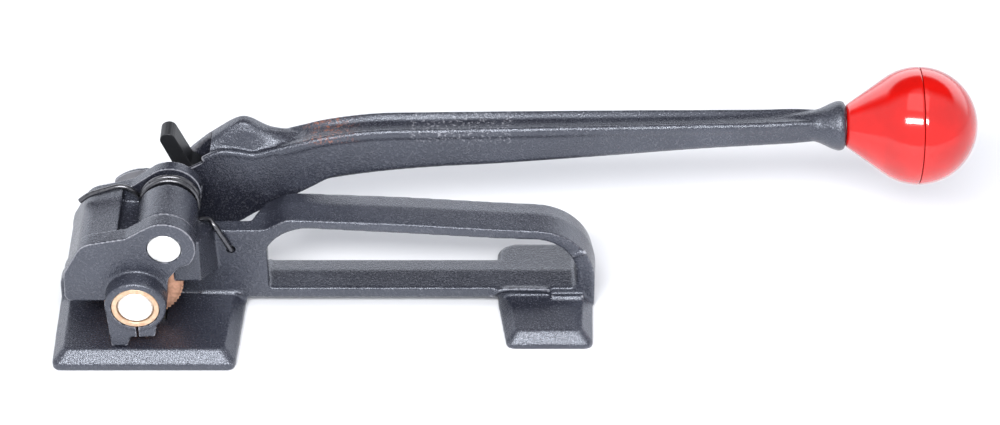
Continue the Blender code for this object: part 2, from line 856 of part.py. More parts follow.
def shaft_retaining_ring():
    """The open ring in the shaft's groove."""
    inner = SHAFT_R - 1.0 + GAP
    ears = [(9.6, 62.0), (9.6, 74.0), (11.4, 74.0), (11.4, 62.0)]
    left = [on_shaft(radius, turn) for radius, turn in ears]
    right = [on_shaft(radius, 180.0 - turn) for radius, turn in ears]
    outer = arc(SHAFT_X, SHAFT_Z, 9.6, 62.0, -242.0, 30)
    bore = arc(SHAFT_X, SHAFT_Z, inner, -254.0, 74.0, 30)
    outline = [left[2], left[3], *outer, right[3], right[2], *bore]
    span = (RING_GROOVE[0] + 0.2, RING_GROOVE[1] - 0.2)
    return prism("shaft_retaining_ring", [outline], span)


# ---------------------------------------------------------------- lever


def arm_ring(station):
    """The arm's section at one station, a rounded rectangle across the lever."""
    x, centre_z, width, height = station
    half_y, half_z = width / 2, height / 2
    corners = [
        (LEVER_Y - half_y, centre_z - half_z, ARM_CORNER),
        (LEVER_Y + half_y, centre_z - half_z, ARM_CORNER),
        (LEVER_Y + half_y, centre_z + half_z, ARM_CORNER),
        (LEVER_Y - half_y, centre_z + half_z, ARM_CORNER),
    ]
    return [(x, y, z) for y, z in rounded(corners, 3)]


def lever_head():
    """The lever's head round the shaft, flat-sided, running out into the arm."""
    hub_left = -13.8
    top_left = math.degrees(math.acos(hub_left / HUB_R))
    outline = [
        *arc(SHAFT_X, SHAFT_Z, HUB_R, 75.0, top_left, 8),
        *arc(SHAFT_X, SHAFT_Z, HUB_R, 360.0 - top_left, 296.0, 12),
        *rounded(
            [
                (41.4, 30.6),
                (48.3, 35.5),
                (68.0, 48.0, 14.0),
                (84.0, 52.6),
                (84.0, 73.6),
                (60.2, 69.9),
                (47.4, 66.0, 8.0),
                (35.0, 68.4, 8.0),
                (26.0, 62.6),
                (19.6, 58.2),
                (12.0, 52.0),
            ],
            4,
        ),
    ]
    return eased(prism("lever", [outline], LEVER), 1.6)


def lever_hump():
    """The raised back of the head over the pawl's spring."""
    outline = rounded(
        [
            (26.0, 60.0),
            (29.0, 69.5, 4.0),
            (41.8, 81.0, 8.0),
            (52.0, 70.6, 9.0),
            (62.0, 71.2),
            (62.0, 60.0),
        ]
    )
    return eased(prism("hump", [outline], (LEVER[0] + 3.0, LEVER[1] - 0.4)), 2.0)


def pawl_cavity():
    """The slot between the fork's plates: open to the left, round the ratchet and the pawl."""
    outline = [
        (-30.0, -5.0),
        (3.0, -5.0),
        *arc(SHAFT_X, SHAFT_Z, RATCHET_R + 1.2, -80.0, -38.0, 8),
        (20.5, 22.8),
        (26.3, 25.6),
        (28.5, 36.0),
        (29.0, 52.0),
        (28.8, 64.0),
        (33.0, 90.0),
        (-30.0, 90.0),
    ]
    return prism("pawl_cavity", [outline], FORK_SLOT)


def lever():
    """The lever: fork, arm and end collar, forged as one."""
    shaft = (SHAFT_X, SHAFT_Z)
    collar_section = [
        (0.0, COLLAR_X[1]),
        (COLLAR_R - 0.8, COLLAR_X[1]),
        (COLLAR_R, COLLAR_X[1] - 0.8),
        (COLLAR_R, COLLAR_X[0] + 4.5),
        (7.2, COLLAR_X[0]),
        (6.6, COLLAR_X[0] - 5.0),
        (0.0, COLLAR_X[0] - 5.0),
    ]
    made = join(
        lever_head(),
        lever_hump(),
        loft("arm", [arm_ring(station) for station in ARM_STATIONS]),
        turned("collar", collar_section, (0.0, LEVER_Y, KNOB_Z), "X", 32, closed=False),
        cross_rod("hub_near", 12.0, shaft, (28.2, LEVER[0] + 1.0)),
        cross_rod("hub_far", 12.0, shaft, (LEVER[1] - 1.0, 46.1)),
    )
    cut(made, cross_rod("lever_bore", SHAFT_R + GAP, shaft, (20.0, 50.0)))
    cut(made, pawl_cavity())
    cut(made, cross_rod("drive_pin_bore", PAWL_PIN_R + GAP, (DRIVE_X, DRIVE_Z), (25.0, 50.0), 24))
    pocket = ((24.0, LEVER_Y, PAWL_SPRING_Z), (36.0, LEVER_Y, PAWL_SPRING_Z))
    cut(made, rod("spring_pocket", 3.8, *pocket, 24))
    stud_room = ((STUD_X[0] - GAP, LEVER_Y, KNOB_Z), (305.0, LEVER_Y, KNOB_Z))
    cut(made, rod("stud_bore", STUD_R + GAP, *stud_room, 24))
    return made


def pawl_nose(face, gap_degrees=1.3):
    """The three points of a pawl's nose in the gap beside a tooth's steep face."""
    inner = on_shaft(RATCHET_ROOT + 0.5, face + gap_degrees)
    outer = on_shaft(RATCHET_R + 0.5, face + gap_degrees)
    heel = on_shaft(RATCHET_R + 0.5, face + 13.0)
    return inner, outer, heel


def pawl_bore(name, axis):
    """The room for a pawl's pin."""
    return cross_rod(name, PAWL_PIN_R + GAP, axis, (25.0, 50.0), 24)


def drive_pawl():
    """The pawl in the lever's fork, with a thumb tab that leans back over the housing."""
    inner, outer, heel = pawl_nose(DRIVE_TOOTH)
    outline = [
        heel,
        inner,
        outer,
        *rounded(
            [
                (19.6, 25.6, 1.0),
                (24.8, 38.0, 3.0),
                (24.8, 46.0, 3.0),
                (26.4, 50.5, 4.0),
                (25.0, 57.0, 4.0),
                (20.8, 59.5),
                (13.4, 76.4, 3.0),
                (7.4, 73.8, 3.0),
                (14.6, 56.0, 6.0),
                (14.6, 45.0, 4.0),
                (17.4, 35.0, 4.0),
            ],
            4,
        ),
    ]
    made = eased(prism("drive_pawl", [outline], PAWL_SPAN), 0.6)
    return cut(made, pawl_bore("drive_pawl_bore", (DRIVE_X, DRIVE_Z)))


def holding_pawl():
    """The pawl on the housing that keeps the ratchet from running back."""
    inner, outer, heel = pawl_nose(HOLD_TOOTH)
    outline = [
        outer,
        inner,
        heel,
        *arc(HOLD_X, HOLD_Z, PAWL_BOSS_R, 20.0, -60.0, 5),
        (-22.8, 8.6),
        (-26.8, 8.6),
        *arc(HOLD_X, HOLD_Z, PAWL_BOSS_R, 235.0, 140.0, 6),
    ]
    made = eased(prism("holding_pawl", [outline], PAWL_SPAN), 0.5)
    return cut(made, pawl_bore("holding_pawl_bore", (HOLD_X, HOLD_Z)))


def pivot_pin(name, axis, near, far):
    """A pawl's pin, with a head on the lever's far side."""
    head_r = 3.8
    shoulder = far - 1.6
    section = [
        (0.0, far),
        (head_r - 0.4, far),
        (head_r, far - 0.4),
        (head_r, shoulder),
        (PAWL_PIN_R, shoulder),
        (PAWL_PIN_R, near),
        (0.0, near),
    ]
    return turned(name, section, (axis[0], 0.0, axis[1]), "Y", 24, closed=False)


def pin_clip(name, axis, span):
    """The push-on ring at a pin's near end."""
    return tube(name, 4.2, PAWL_PIN_R + GAP, axis, span, 24)


def drive_pawl_spring():
    """The compression spring that presses the drive pawl onto the ratchet."""
    turns, radius = 4.0, 2.7
    start_x, end_x = 25.6, 35.3
    steps = round(turns * 10)
    points = []
    for step in range(steps + 1):
        turn = 2 * math.pi * turns * step / steps
        x = start_x + (end_x - start_x) * step / steps
        y = LEVER_Y + radius * math.cos(turn)
        z = PAWL_SPRING_Z + radius * math.sin(turn)
        points.append((x, y, z))
    return wire("drive_pawl_spring", points, PAWL_SPRING_WIRE_R)


def holding_pawl_spring():
    """The small torsion spring on the holding pawl's boss."""
    helix = coil((HOLD_X, 26.0, HOLD_Z), 5.9, 200.0, 3.3, 1.6, 10)
    cheek_leg = [(-27.0, 25.6, 9.8), (-28.8, 25.7, 12.6)]
    pawl_leg = [(-25.0, 31.6, 9.0), (-24.6, 32.2, 7.4)]
    return wire("holding_pawl_spring", cheek_leg + helix + pawl_leg, PAWL_SPRING_WIRE_R)


# ---------------------------------------------------------------- knob


def knob_stud():
    """The steel stud between the lever's end and the knob."""
    near, far = STUD_X
    chamfer = 0.8
    section = [
        (0.0, far),
        (STUD_R - chamfer, far),
        (STUD_R, far - chamfer),
        (STUD_R, near + chamfer),
        (STUD_R - chamfer, near),
        (0.0, near),
    ]
    return turned("knob_stud", section, (0.0, LEVER_Y, KNOB_Z), "X", 28, closed=False)


def knob_radius(x):
    """The knob's radius at x: a ball, with a cone that meets it smoothly on the neck side."""
    cone = math.radians(KNOB_CONE)
    touch = KNOB_X - KNOB_R * math.sin(cone)
    if x < touch:
        return KNOB_R * math.cos(cone) - (touch - x) * math.tan(cone)
    return math.sqrt(max(KNOB_R**2 - (x - KNOB_X) ** 2, 0.0))


def knob_neck_half():
    """The knob's half on the neck side, drilled for the stud."""
    bore = STUD_R + GAP
    split = KNOB_X - 0.15
    section = [(bore, split), (knob_radius(split), split)]
    for step in range(1, 9):
        x = split + (KNOB_NECK_X - split) * step / 8
        section.append((knob_radius(x), x))
    section.append((bore, KNOB_NECK_X))
    return turned("knob_neck_half", section, (0.0, LEVER_Y, KNOB_Z), "X")


def knob_end_half():
    """The knob's domed half, with a blind hole for the stud."""
    split = KNOB_X + 0.15
    bore = STUD_R + GAP
    section = [(0.0, KNOB_X + KNOB_R)]
    for step in range(1, 8):
        turn = math.radians(90.0 * step / 8)
        section.append((KNOB_R * math.sin(turn), KNOB_X + KNOB_R * math.cos(turn)))
    section.append((knob_radius(split), split))
    section.append((bore, split))
    section.append((bore, STUD_X[1] + GAP))
    section.append((0.0, STUD_X[1] + GAP))
    return turned("knob_end_half", section, (0.0, LEVER_Y, KNOB_Z), "X", closed=False)


# ---------------------------------------------------------------- assembly


def build():
    """Make every sub-part and hang it from its joint's axis."""
    tilt = axis_empty("housing_tilt_axis", HINGE_X, 0.0, HINGE_Z)
    spin = axis_empty("feed_spin_axis", SHAFT_X, 0.0, SHAFT_Z, tilt)
    swing = axis_empty("lever_swing_axis", SHAFT_X, LEVER_Y, SHAFT_Z, tilt)
    drive = axis_empty("drive_pawl_axis", DRIVE_X, LEVER_Y, DRIVE_Z, swing)
    hold = axis_empty("holding_pawl_axis", HOLD_X, LEVER_Y, HOLD_Z, tilt)

    piece(base_casting(), "casting_paint")
    piece(gripper_plug(), "tool_steel")
    for side in (-1, 1):
        piece(gripper_screw(side), "bright_steel")

    piece(housing_casting(), "casting_paint", tilt)
    piece(hinge_pin(), "bright_steel", tilt)
    piece(hinge_set_screw(), "bright_steel", tilt)
    piece(housing_spring(), "spring_steel", tilt)
    piece(near_bush(), "bronze", tilt)
    piece(far_bush(), "bronze", tilt)
    piece(thrust_washer(), "bright_steel", tilt)
    holding_pin = pivot_pin("holding_pawl_pin", (HOLD_X, HOLD_Z), FAR_CHEEK[0] - 1.8, 44.4)
    holding_clip = pin_clip("holding_pawl_clip", (HOLD_X, HOLD_Z), (17.8, FAR_CHEEK[0] - GAP))
    piece(holding_pin, "bright_steel", tilt)
    piece(holding_clip, "spring_steel", tilt)
    piece(holding_pawl_spring(), "spring_steel", tilt)

    piece(feed_shaft(), "bright_steel", spin)
    piece(feed_wheel(), "copper_plate", spin)
    piece(key("wheel_key", WHEEL_KEY), "tool_steel", spin)
    piece(shaft_spacer(), "bright_steel", spin)
    piece(ratchet_wheel(), "tool_steel", spin)
    piece(key("ratchet_key", RATCHET_KEY), "tool_steel", spin)
    piece(shaft_washer(), "bright_steel", spin)
    piece(shaft_retaining_ring(), "spring_steel", spin)

    piece(lever(), "casting_paint", swing)
    drive_pin = pivot_pin("drive_pawl_pin", (DRIVE_X, DRIVE_Z), LEVER[0] - 1.6, LEVER[1] + 1.9)
    drive_clip = pin_clip("drive_pawl_clip", (DRIVE_X, DRIVE_Z), (LEVER[0] - 1.5, LEVER[0] - GAP))
    piece(drive_pin, "bright_steel", swing)
    piece(drive_clip, "spring_steel", swing)
    piece(drive_pawl_spring(), "spring_steel", swing)
    piece(knob_stud(), "bright_steel", swing)
    piece(knob_neck_half(), "red_plastic", swing)
    piece(knob_end_half(), "red_plastic", swing)

    piece(drive_pawl(), "pawl_steel", drive)
    piece(holding_pawl(), "pawl_steel", hold)


clear_scene()
MODEL = collection("strapping_tensioner")
CUTTERS = collection("cutters")
build()
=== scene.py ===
"""Looks of a lever strapping tensioner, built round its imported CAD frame.

Sizes are in millimetres in the code and in metres in the scene. The origin lies on the rear foot's
sole below the feed shaft, +X runs towards the knob, +Y towards the lever's side and +Z is up.
"""

import math

import bmesh
import bpy
import numpy as np
from mathutils import Matrix, Vector


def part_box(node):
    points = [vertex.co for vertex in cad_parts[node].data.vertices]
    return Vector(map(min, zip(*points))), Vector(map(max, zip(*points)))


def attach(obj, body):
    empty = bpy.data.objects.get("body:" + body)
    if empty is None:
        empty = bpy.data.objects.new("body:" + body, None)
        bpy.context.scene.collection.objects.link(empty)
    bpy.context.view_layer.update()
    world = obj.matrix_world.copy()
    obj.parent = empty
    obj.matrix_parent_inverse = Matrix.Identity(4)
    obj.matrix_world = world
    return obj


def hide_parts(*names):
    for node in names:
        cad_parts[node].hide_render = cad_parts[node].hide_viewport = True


bl_info = {
    "name": "Lever Strapping Tensioner",
    "version": (1, 0, 0),
    "blender": (4, 5, 0),
    "location": "3D View > Sidebar > Tensioner",
    "description": "Builds the castings, lever, springs, wheel and knob of a strapping tensioner",
    "category": "Add Mesh",
}

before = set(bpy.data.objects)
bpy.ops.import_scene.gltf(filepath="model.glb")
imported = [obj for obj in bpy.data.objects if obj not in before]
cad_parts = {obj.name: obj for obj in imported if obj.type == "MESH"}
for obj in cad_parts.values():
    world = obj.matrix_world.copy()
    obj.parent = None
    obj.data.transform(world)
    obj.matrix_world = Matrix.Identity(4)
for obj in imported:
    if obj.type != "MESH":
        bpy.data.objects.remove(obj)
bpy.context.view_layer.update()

MM = 0.001


def middle(node):
    """The centre of a CAD node's box, in millimetres."""
    low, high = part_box(node)
    return (low + high) / 2 / MM


def span_y(node):
    """A CAD node's extent across the tool, in millimetres."""
    low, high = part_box(node)
    return low.y / MM, high.y / MM


# Axes across the tool, taken from the frame
SHAFT_X, _, SHAFT_Z = middle("feed_shaft")
HINGE_X, _, HINGE_Z = middle("hinge_pin")
DRIVE_X, _, DRIVE_Z = middle("drive_pawl_pin")
HOLD_X, _, HOLD_Z = middle("holding_pawl_pin")
_, KNOB_Y, KNOB_Z = middle("knob_stud")
SHAFT = (SHAFT_X, SHAFT_Z)
HINGE = (HINGE_X, HINGE_Z)
DRIVE = (DRIVE_X, DRIVE_Z)
HOLD = (HOLD_X, HOLD_Z)

# Planes across the tool
BOSS_FACE = -26.7
NEAR_CHEEK = (-18.2, -10.7)
BARREL = (-10.3, 9.7)
WALL = (9.2, 16.2)
LOOP_FAR = 29.7
FAR_CHEEK = (19.3, 24.8)
LEVER = (30.3, 45.3)
FORK_SLOT = (32.3, 42.7)

PIN_R = 7.0
SHAFT_R = 7.5
BUSH_R = 10.0
BOSS_R = 12.9
HUB_R = 19.3
HUB_FACE_R = 12.0
WASHER_R = 12.0
SHAFT_WASHER_R = 11.5
SPACER_R = 9.3
PAWL_PIN_BORE = 2.8
KNOB_BORE = 5.3
GAP = 0.3

FEED_TEETH = 60
FEED_R = 18.8
FEED_RIM = 18.3
FEED_ROOT = 17.6
FEED_FLANK = 18.15
RATCHET_TEETH = 24
RATCHET_R = 16.3
RATCHET_ROOT = 13.8
RATCHET_FOOT = 13.0
DRIVE_TOOTH = math.radians(12.0)

CAMERA_LENS = 118.8
CAMERA_SENSOR = 36.0
CAMERA_LIFT = 38.5
CAMERA_DISTANCE = 1.3866
CAMERA_AIM = (0.1521, 0.0073, 0.0535)
LIGHT_AIM = (0.15, 0.0, 0.04)


# ---------------------------------------------------------------- mesh helpers


def arc(centre, radius, start, end, steps):
    """Points along an arc in the XZ plane, in degrees."""
    turns = np.radians(np.linspace(start, end, steps + 1))
    return [(centre[0] + radius * math.cos(t), centre[1] + radius * math.sin(t)) for t in turns]


def rounded(corners, steps=8):
    """An outline whose corners (a, b, radius) are rounded; a corner without a radius is sharp."""
    points = []
    for index, corner in enumerate(corners):
        here = Vector(corner[:2])
        if len(corner) == 2:
            points.append(tuple(here))
            continue
        before = (Vector(corners[index - 1][:2]) - here).normalized()
        after = (Vector(corners[(index + 1) % len(corners)][:2]) - here).normalized()
        half = before.angle(after) / 2
        centre = here + (before + after).normalized() * corner[2] / math.sin(half)
        start = here + before * corner[2] / math.tan(half) - centre
        turn = start.angle_signed(here + after * corner[2] / math.tan(half) - centre)
        for step in range(steps + 1):
            spoke = start.copy()
            spoke.rotate(Matrix.Rotation(-turn * step / steps, 2))
            points.append(tuple(centre + spoke))
    return points


def inset(corners, distance):
    """The outline's corners moved inwards, parallel to its sides."""
    moved = []
    for index, corner in enumerate(corners):
        here = Vector(corner[:2])
        before = (Vector(corners[index - 1][:2]) - here).normalized()
        after = (Vector(corners[(index + 1) % len(corners)][:2]) - here).normalized()
        half = before.angle(after) / 2
        shifted = here + (before + after).normalized() * distance / math.sin(half)
        moved.append((shifted.x, shifted.y, corner[2]))
    return moved


def linked(name, data):
    """A new object in the scene."""
    made = bpy.data.objects.new(name, data)
    bpy.context.scene.collection.objects.link(made)
    return made


def from_bmesh(name, bm):
    """An object from a bmesh, welded and with its faces pointing out."""
    bmesh.ops.remove_doubles(bm, verts=bm.verts, dist=1e-7)
    bmesh.ops.recalc_face_normals(bm, faces=bm.faces)
    mesh = bpy.data.meshes.new(name)
    bm.to_mesh(mesh)
    bm.free()
    return linked(name, mesh)


def plain(source, welded=False):
    """Replace an object by its evaluated mesh, placed at the origin."""
    bpy.context.view_layer.update()
    name = source.name
    shape = source.evaluated_get(bpy.context.evaluated_depsgraph_get())
    mesh = bpy.data.meshes.new_from_object(shape)
    mesh.transform(source.matrix_world)
    bpy.data.objects.remove(source, do_unlink=True)
    if welded:
        bm = bmesh.new()
        bm.from_mesh(mesh)
        return from_bmesh(name, bm)
    return linked(name, mesh)


def prism(outlines, span, name="solid"):
    """Extrude an outline in the XZ plane, with any holes in it, between two Y planes."""
    curve = bpy.data.curves.new(name, "CURVE")
    curve.dimensions = "2D"
    curve.fill_mode = "BOTH"
    curve.extrude = (span[1] - span[0]) / 2 * MM
    for outline in outlines:
        spline = curve.splines.new("POLY")
        spline.points.add(len(outline) - 1)
        spline.use_cyclic_u = True
        for point, (x, z) in zip(spline.points, outline):
            point.co = (x * MM, z * MM, 0.0, 1.0)
    made = linked(name, curve)
    made.rotation_euler = (math.pi / 2, 0.0, 0.0)
    made.location = (0.0, (span[0] + span[1]) / 2 * MM, 0.0)
    return plain(made, welded=True)


def loft(rings, name="solid"):
    """A closed body through rings of equally many points."""
    bm = bmesh.new()
    layers = [[bm.verts.new(Vector(point) * MM) for point in ring] for ring in rings]
    for low, high in zip(layers, layers[1:]):
        for index in range(len(low)):
            after = (index + 1) % len(low)
            bm.faces.new((low[index], low[after], high[after], high[index]))
    bm.faces.new(list(reversed(layers[0])))
    bm.faces.new(layers[-1])
    return from_bmesh(name, bm)


def hull(points, name="solid"):
    """The convex body round a few corner points."""
    bm = bmesh.new()
    for point in points:
        bm.verts.new(Vector(point) * MM)
    bmesh.ops.convex_hull(bm, input=bm.verts)
    return from_bmesh(name, bm)


def grown_outline(outline, distance):
    """A closed outline moved outwards along its own normals."""
    points = np.array(outline)
    before = points - np.roll(points, 1, axis=0)
    after = np.roll(points, -1, axis=0) - points
    way = before / np.linalg.norm(before, axis=1)[:, None]
    way = way + after / np.linalg.norm(after, axis=1)[:, None]
    way = way / np.linalg.norm(way, axis=1)[:, None]
    area = (before[:, 0] * after[:, 1] - before[:, 1] * after[:, 0]).sum()
    side = distance if area > 0 else -distance
    return [(x + side * tz, z - side * tx) for (x, z), (tx, tz) in zip(points, way)]


def banded(outline, bands):
    """A body across the tool whose outline grows or shrinks between planes (y, growth)."""
    rings = []
    for y, growth in bands:
        rings.append([(x, y, z) for x, z in grown_outline(outline, growth)])
    return loft(rings)


def rod(radius, start, end, segments=48, name="solid"):
    """A cylinder between two points."""
    start = Vector(start) * MM
    end = Vector(end) * MM
    turn = (end - start).to_track_quat("Z", "Y").to_matrix().to_4x4()
    bm = bmesh.new()
    bmesh.ops.create_cone(
        bm,
        cap_ends=True,
        segments=segments,
        radius1=radius * MM,
        radius2=radius * MM,
        depth=(end - start).length,
        matrix=Matrix.Translation((start + end) / 2) @ turn,
    )
    return from_bmesh(name, bm)


def cross_rod(radius, axis, span, segments=64, name="solid"):
    """A cylinder across the tool, on an axis given by its x and z."""
    return rod(radius, (axis[0], span[0], axis[1]), (axis[0], span[1], axis[1]), segments, name)


def turned(section, origin, direction, segments=72, closed=True, name="solid"):
    """Spin a section of (radius, distance along the axis) points about an axis."""
    mesh = bpy.data.meshes.new(name)
    edges = [(index, index + 1) for index in range(len(section) - 1)]
    if closed:
        edges.append((len(section) - 1, 0))
    mesh.from_pydata([(r * MM, 0.0, h * MM) for r, h in section], edges, [])
    made = linked(name, mesh)
    screw = made.modifiers.new("turn", "SCREW")
    screw.angle = 2 * math.pi
    screw.steps = segments
    screw.render_steps = segments
    screw.use_merge_vertices = True
    screw.merge_threshold = 1e-7
    turn = {"X": (0.0, math.pi / 2, 0.0), "Y": (-math.pi / 2, 0.0, 0.0), "Z": (0.0, 0.0, 0.0)}
    made.rotation_euler = turn[direction]
    made.location = Vector(origin) * MM
    return plain(made, welded=True)


def sleeve(outer, inner, axis, span, ease=0.3, name="solid"):
    """A ring or sleeve across the tool with eased edges; an inner radius of 0 makes it solid."""
    low, high = span
    if inner > 0:
        corners = [
            (outer, high, ease),
            (outer, low, ease),
            (inner, low, ease),
            (inner, high, ease),
        ]
        return turned(rounded(corners, 4), (axis[0], 0.0, axis[1]), "Y", name=name)
    rim = rounded([(0.0, high), (outer, high, ease), (outer, low, ease), (0.0, low)], 4)
    return turned(rim, (axis[0], 0.0, axis[1]), "Y", closed=False, name=name)


def fused(name, solids, grain, soften, keep):
    """Fuse overlapping solids into one skin whose edges and inner corners are rounded."""
    bm = bmesh.new()
    for solid in solids:
        bm.from_mesh(solid.data)
        bpy.data.objects.remove(solid, do_unlink=True)
    mesh = bpy.data.meshes.new(name)
    bm.to_mesh(mesh)
    bm.free()
    made = linked(name, mesh)
    remesh = made.modifiers.new("skin", "REMESH")
    remesh.mode = "VOXEL"
    remesh.voxel_size = grain * MM
    remesh.adaptivity = 0.0
    smooth = made.modifiers.new("soften", "SMOOTH")
    smooth.factor = 0.5
    smooth.iterations = soften
    decimate = made.modifiers.new("thin", "DECIMATE")
    decimate.ratio = keep
    return plain(made)


def machined(target, cutters, operation="DIFFERENCE"):
    """Cut the machined features, or unite more solids, with clean edges."""
    for cutter in cutters:
        modifier = target.modifiers.new("machined", "BOOLEAN")
        modifier.operation = operation
        modifier.solver = "MANIFOLD"
        modifier.object = cutter
    made = plain(target)
    for cutter in cutters:
        bpy.data.objects.remove(cutter, do_unlink=True)
    return made


def mark_wear_and_highlight(target, passes=2):
    """Store how far each point stands proud of its surroundings, which the finishes read as wear; on
    the casting paint it also places a painted highlight along the edges.
    """
    mesh = target.data
    count = len(mesh.vertices)
    place = np.empty(count * 3)
    mesh.vertices.foreach_get("co", place)
    place = place.reshape(-1, 3)
    normal = np.empty(count * 3, np.float32)
    mesh.vertex_normals.foreach_get("vector", normal)
    normal = normal.reshape(-1, 3).astype(float)
    ends = np.empty(len(mesh.edges) * 2, np.int32)
    mesh.edges.foreach_get("vertices", ends)
    one, two = ends.reshape(-1, 2).T
    step = place[two] - place[one]
    length = np.maximum((step**2).sum(1), (0.15 * MM) ** 2)
    total = np.zeros(count)
    share = np.zeros(count)
    weight = np.sqrt(length)
    for here, way in ((one, step), (two, -step)):
        bend = -2 * (normal[here] * way).sum(1) / length
        np.add.at(total, here, bend * weight)
        np.add.at(share, here, weight)
    curve = np.clip(total / np.maximum(share, 1e-9), -2500, 2500)
    for _ in range(passes):
        total = curve.copy()
        share = np.ones(count)
        for here, there in ((one, two), (two, one)):
            np.add.at(total, here, curve[there])
            np.add.at(share, here, 1.0)
        curve = total / share
    wear = mesh.attributes.new("wear", "FLOAT", "POINT")
    wear.data.foreach_set("value", (curve * MM).astype(np.float32))


def dressed(target, slot, body, *nodes, smooth=40.0):
    """Give a finished piece its material and shading, and hand it to its body."""
    target.data.materials.clear()
    target.data.materials.append(finish(slot))
    target.data.shade_smooth()
    target.data.set_sharp_from_angle(angle=math.radians(smooth))
    if nodes:
        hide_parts(*nodes)
    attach(target, body)
    return target


# ---------------------------------------------------------------- node helpers


class Value:
    """A number in a node tree that Python's operators work on."""

    def __init__(self, graph, socket):
        self.graph = graph
        self.socket = socket

    def _math(self, operation, *values):
        made = self.graph.node("ShaderNodeMath", {"operation": operation}, *values)
        return Value(self.graph, made.outputs[0])

    def __add__(self, other):
        return self._math("ADD", self, other)

    __radd__ = __add__

    def __sub__(self, other):
        return self._math("SUBTRACT", self, other)

    def __rsub__(self, other):
        return self._math("SUBTRACT", other, self)

    def __mul__(self, other):
        return self._math("MULTIPLY", self, other)

    __rmul__ = __mul__

    def __truediv__(self, other):
        return self._math("DIVIDE", self, other)

    def __rtruediv__(self, other):
        return self._math("DIVIDE", other, self)

    def between(self, low, high):
        """0 below low, 1 above high, and a smooth step between them."""
        made = self.graph.node(
            "ShaderNodeMapRange",
            {"interpolation_type": "SMOOTHSTEP"},
            self,
            low,
            high,
            0.0,
            1.0,
        )
        return Value(self.graph, made.outputs[0])


class Graph:
    """Adds nodes to a shader or geometry tree."""

    def __init__(self, tree):
        self.tree = tree

    def node(self, kind, settings=None, *values, **named):
        """A node with its settings made first, then its sockets in order or by name."""
        made = self.tree.nodes.new(kind)
        for key, value in (settings or {}).items():
            if key == "stops":
                self._stops(made.color_ramp, value)
            else:
                setattr(made, key, value)
        for socket, value in zip(made.inputs, values):
            self.feed(socket, value)
        for key, value in named.items():
            self.feed(made.inputs[key.replace("_", " ")], value)
        return made

    def feed(self, socket, value):
        """Set a socket to a number or colour, or link another node's output to it."""
        if isinstance(value, Value):
            self.tree.links.new(value.socket, socket)
        elif isinstance(value, bpy.types.NodeSocket):
            self.tree.links.new(value, socket)
        elif value is not None:
            socket.default_value = value

    def _stops(self, ramp, stops):
        while len(ramp.elements) < len(stops):
            ramp.elements.new(1.0)
        for element, (place, colour) in zip(ramp.elements, stops):
            element.position = place
            element.color = colour

    def number(self, node, name):
        """One of a node's outputs as a value."""
        return Value(self, node.outputs[name])


class Finish(Graph):
    """A Principled material whose textures read Object coordinates."""

    def __init__(self, name, colour, **constants):
        self.material = bpy.data.materials.new(f"{name}_skin")
        self.material.use_nodes = True
        super().__init__(self.material.node_tree)
        self.shader = self.tree.nodes["Principled BSDF"]
        self.place = self.node("ShaderNodeTexCoord").outputs["Object"]
        self.feed(self.shader.inputs["Base Color"], (*colour, 1.0))
        self.material.diffuse_color = (*colour, 1.0)
        for key, value in constants.items():
            self.shader.inputs[key.replace("_", " ")].default_value = value

    def noise(self, grain, detail=3.0, rough=0.5):
        """Cloudy noise from 0 to 1 whose features are about that many millimetres across."""
        made = self.node(
            "ShaderNodeTexNoise",
            {"noise_dimensions": "3D"},
            Vector=self.place,
            Scale=1.0 / (grain * MM),
            Detail=detail,
            Roughness=rough,
        )
        return self.number(made, "Fac")

    def wear(self):
        """How far the surface stands proud, from the mesh's own attribute."""
        made = self.node("ShaderNodeAttribute", {"attribute_name": "wear"})
        return self.number(made, "Fac")

    def axis(self, name):
        """One coordinate of the piece, in millimetres."""
        made = self.node("ShaderNodeSeparateXYZ", None, self.place)
        return self.number(made, name) * (1.0 / MM)

    def blend(self, factor, low, high):
        """A colour between two colours."""
        made = self.node("ShaderNodeMix", {"data_type": "RGBA"})
        colours = [socket for socket in made.inputs if socket.type == "RGBA"]
        self.feed(made.inputs[0], factor)
        for socket, colour in zip(colours, (low, high)):
            self.feed(socket, (*colour, 1.0) if isinstance(colour, tuple) else colour)
        return next(socket for socket in made.outputs if socket.type == "RGBA")

    def bump(self, height, depth):
        """Let a height from 0 to 1 stand for that many millimetres."""
        made = self.node("ShaderNodeBump", None, Strength=1.0, Distance=depth * MM)
        self.feed(made.inputs["Height"], height)
        self.feed(self.shader.inputs["Normal"], made.outputs["Normal"])

    def use(self, **sockets):
        """Feed the shader's own sockets."""
        for key, value in sockets.items():
            self.feed(self.shader.inputs[key.replace("_", " ")], value)
        return self.material


def finish(name):
    """A finish by its material slot, made on first use."""
    return bpy.data.materials.get(f"{name}_skin") or FINISHES[name]()


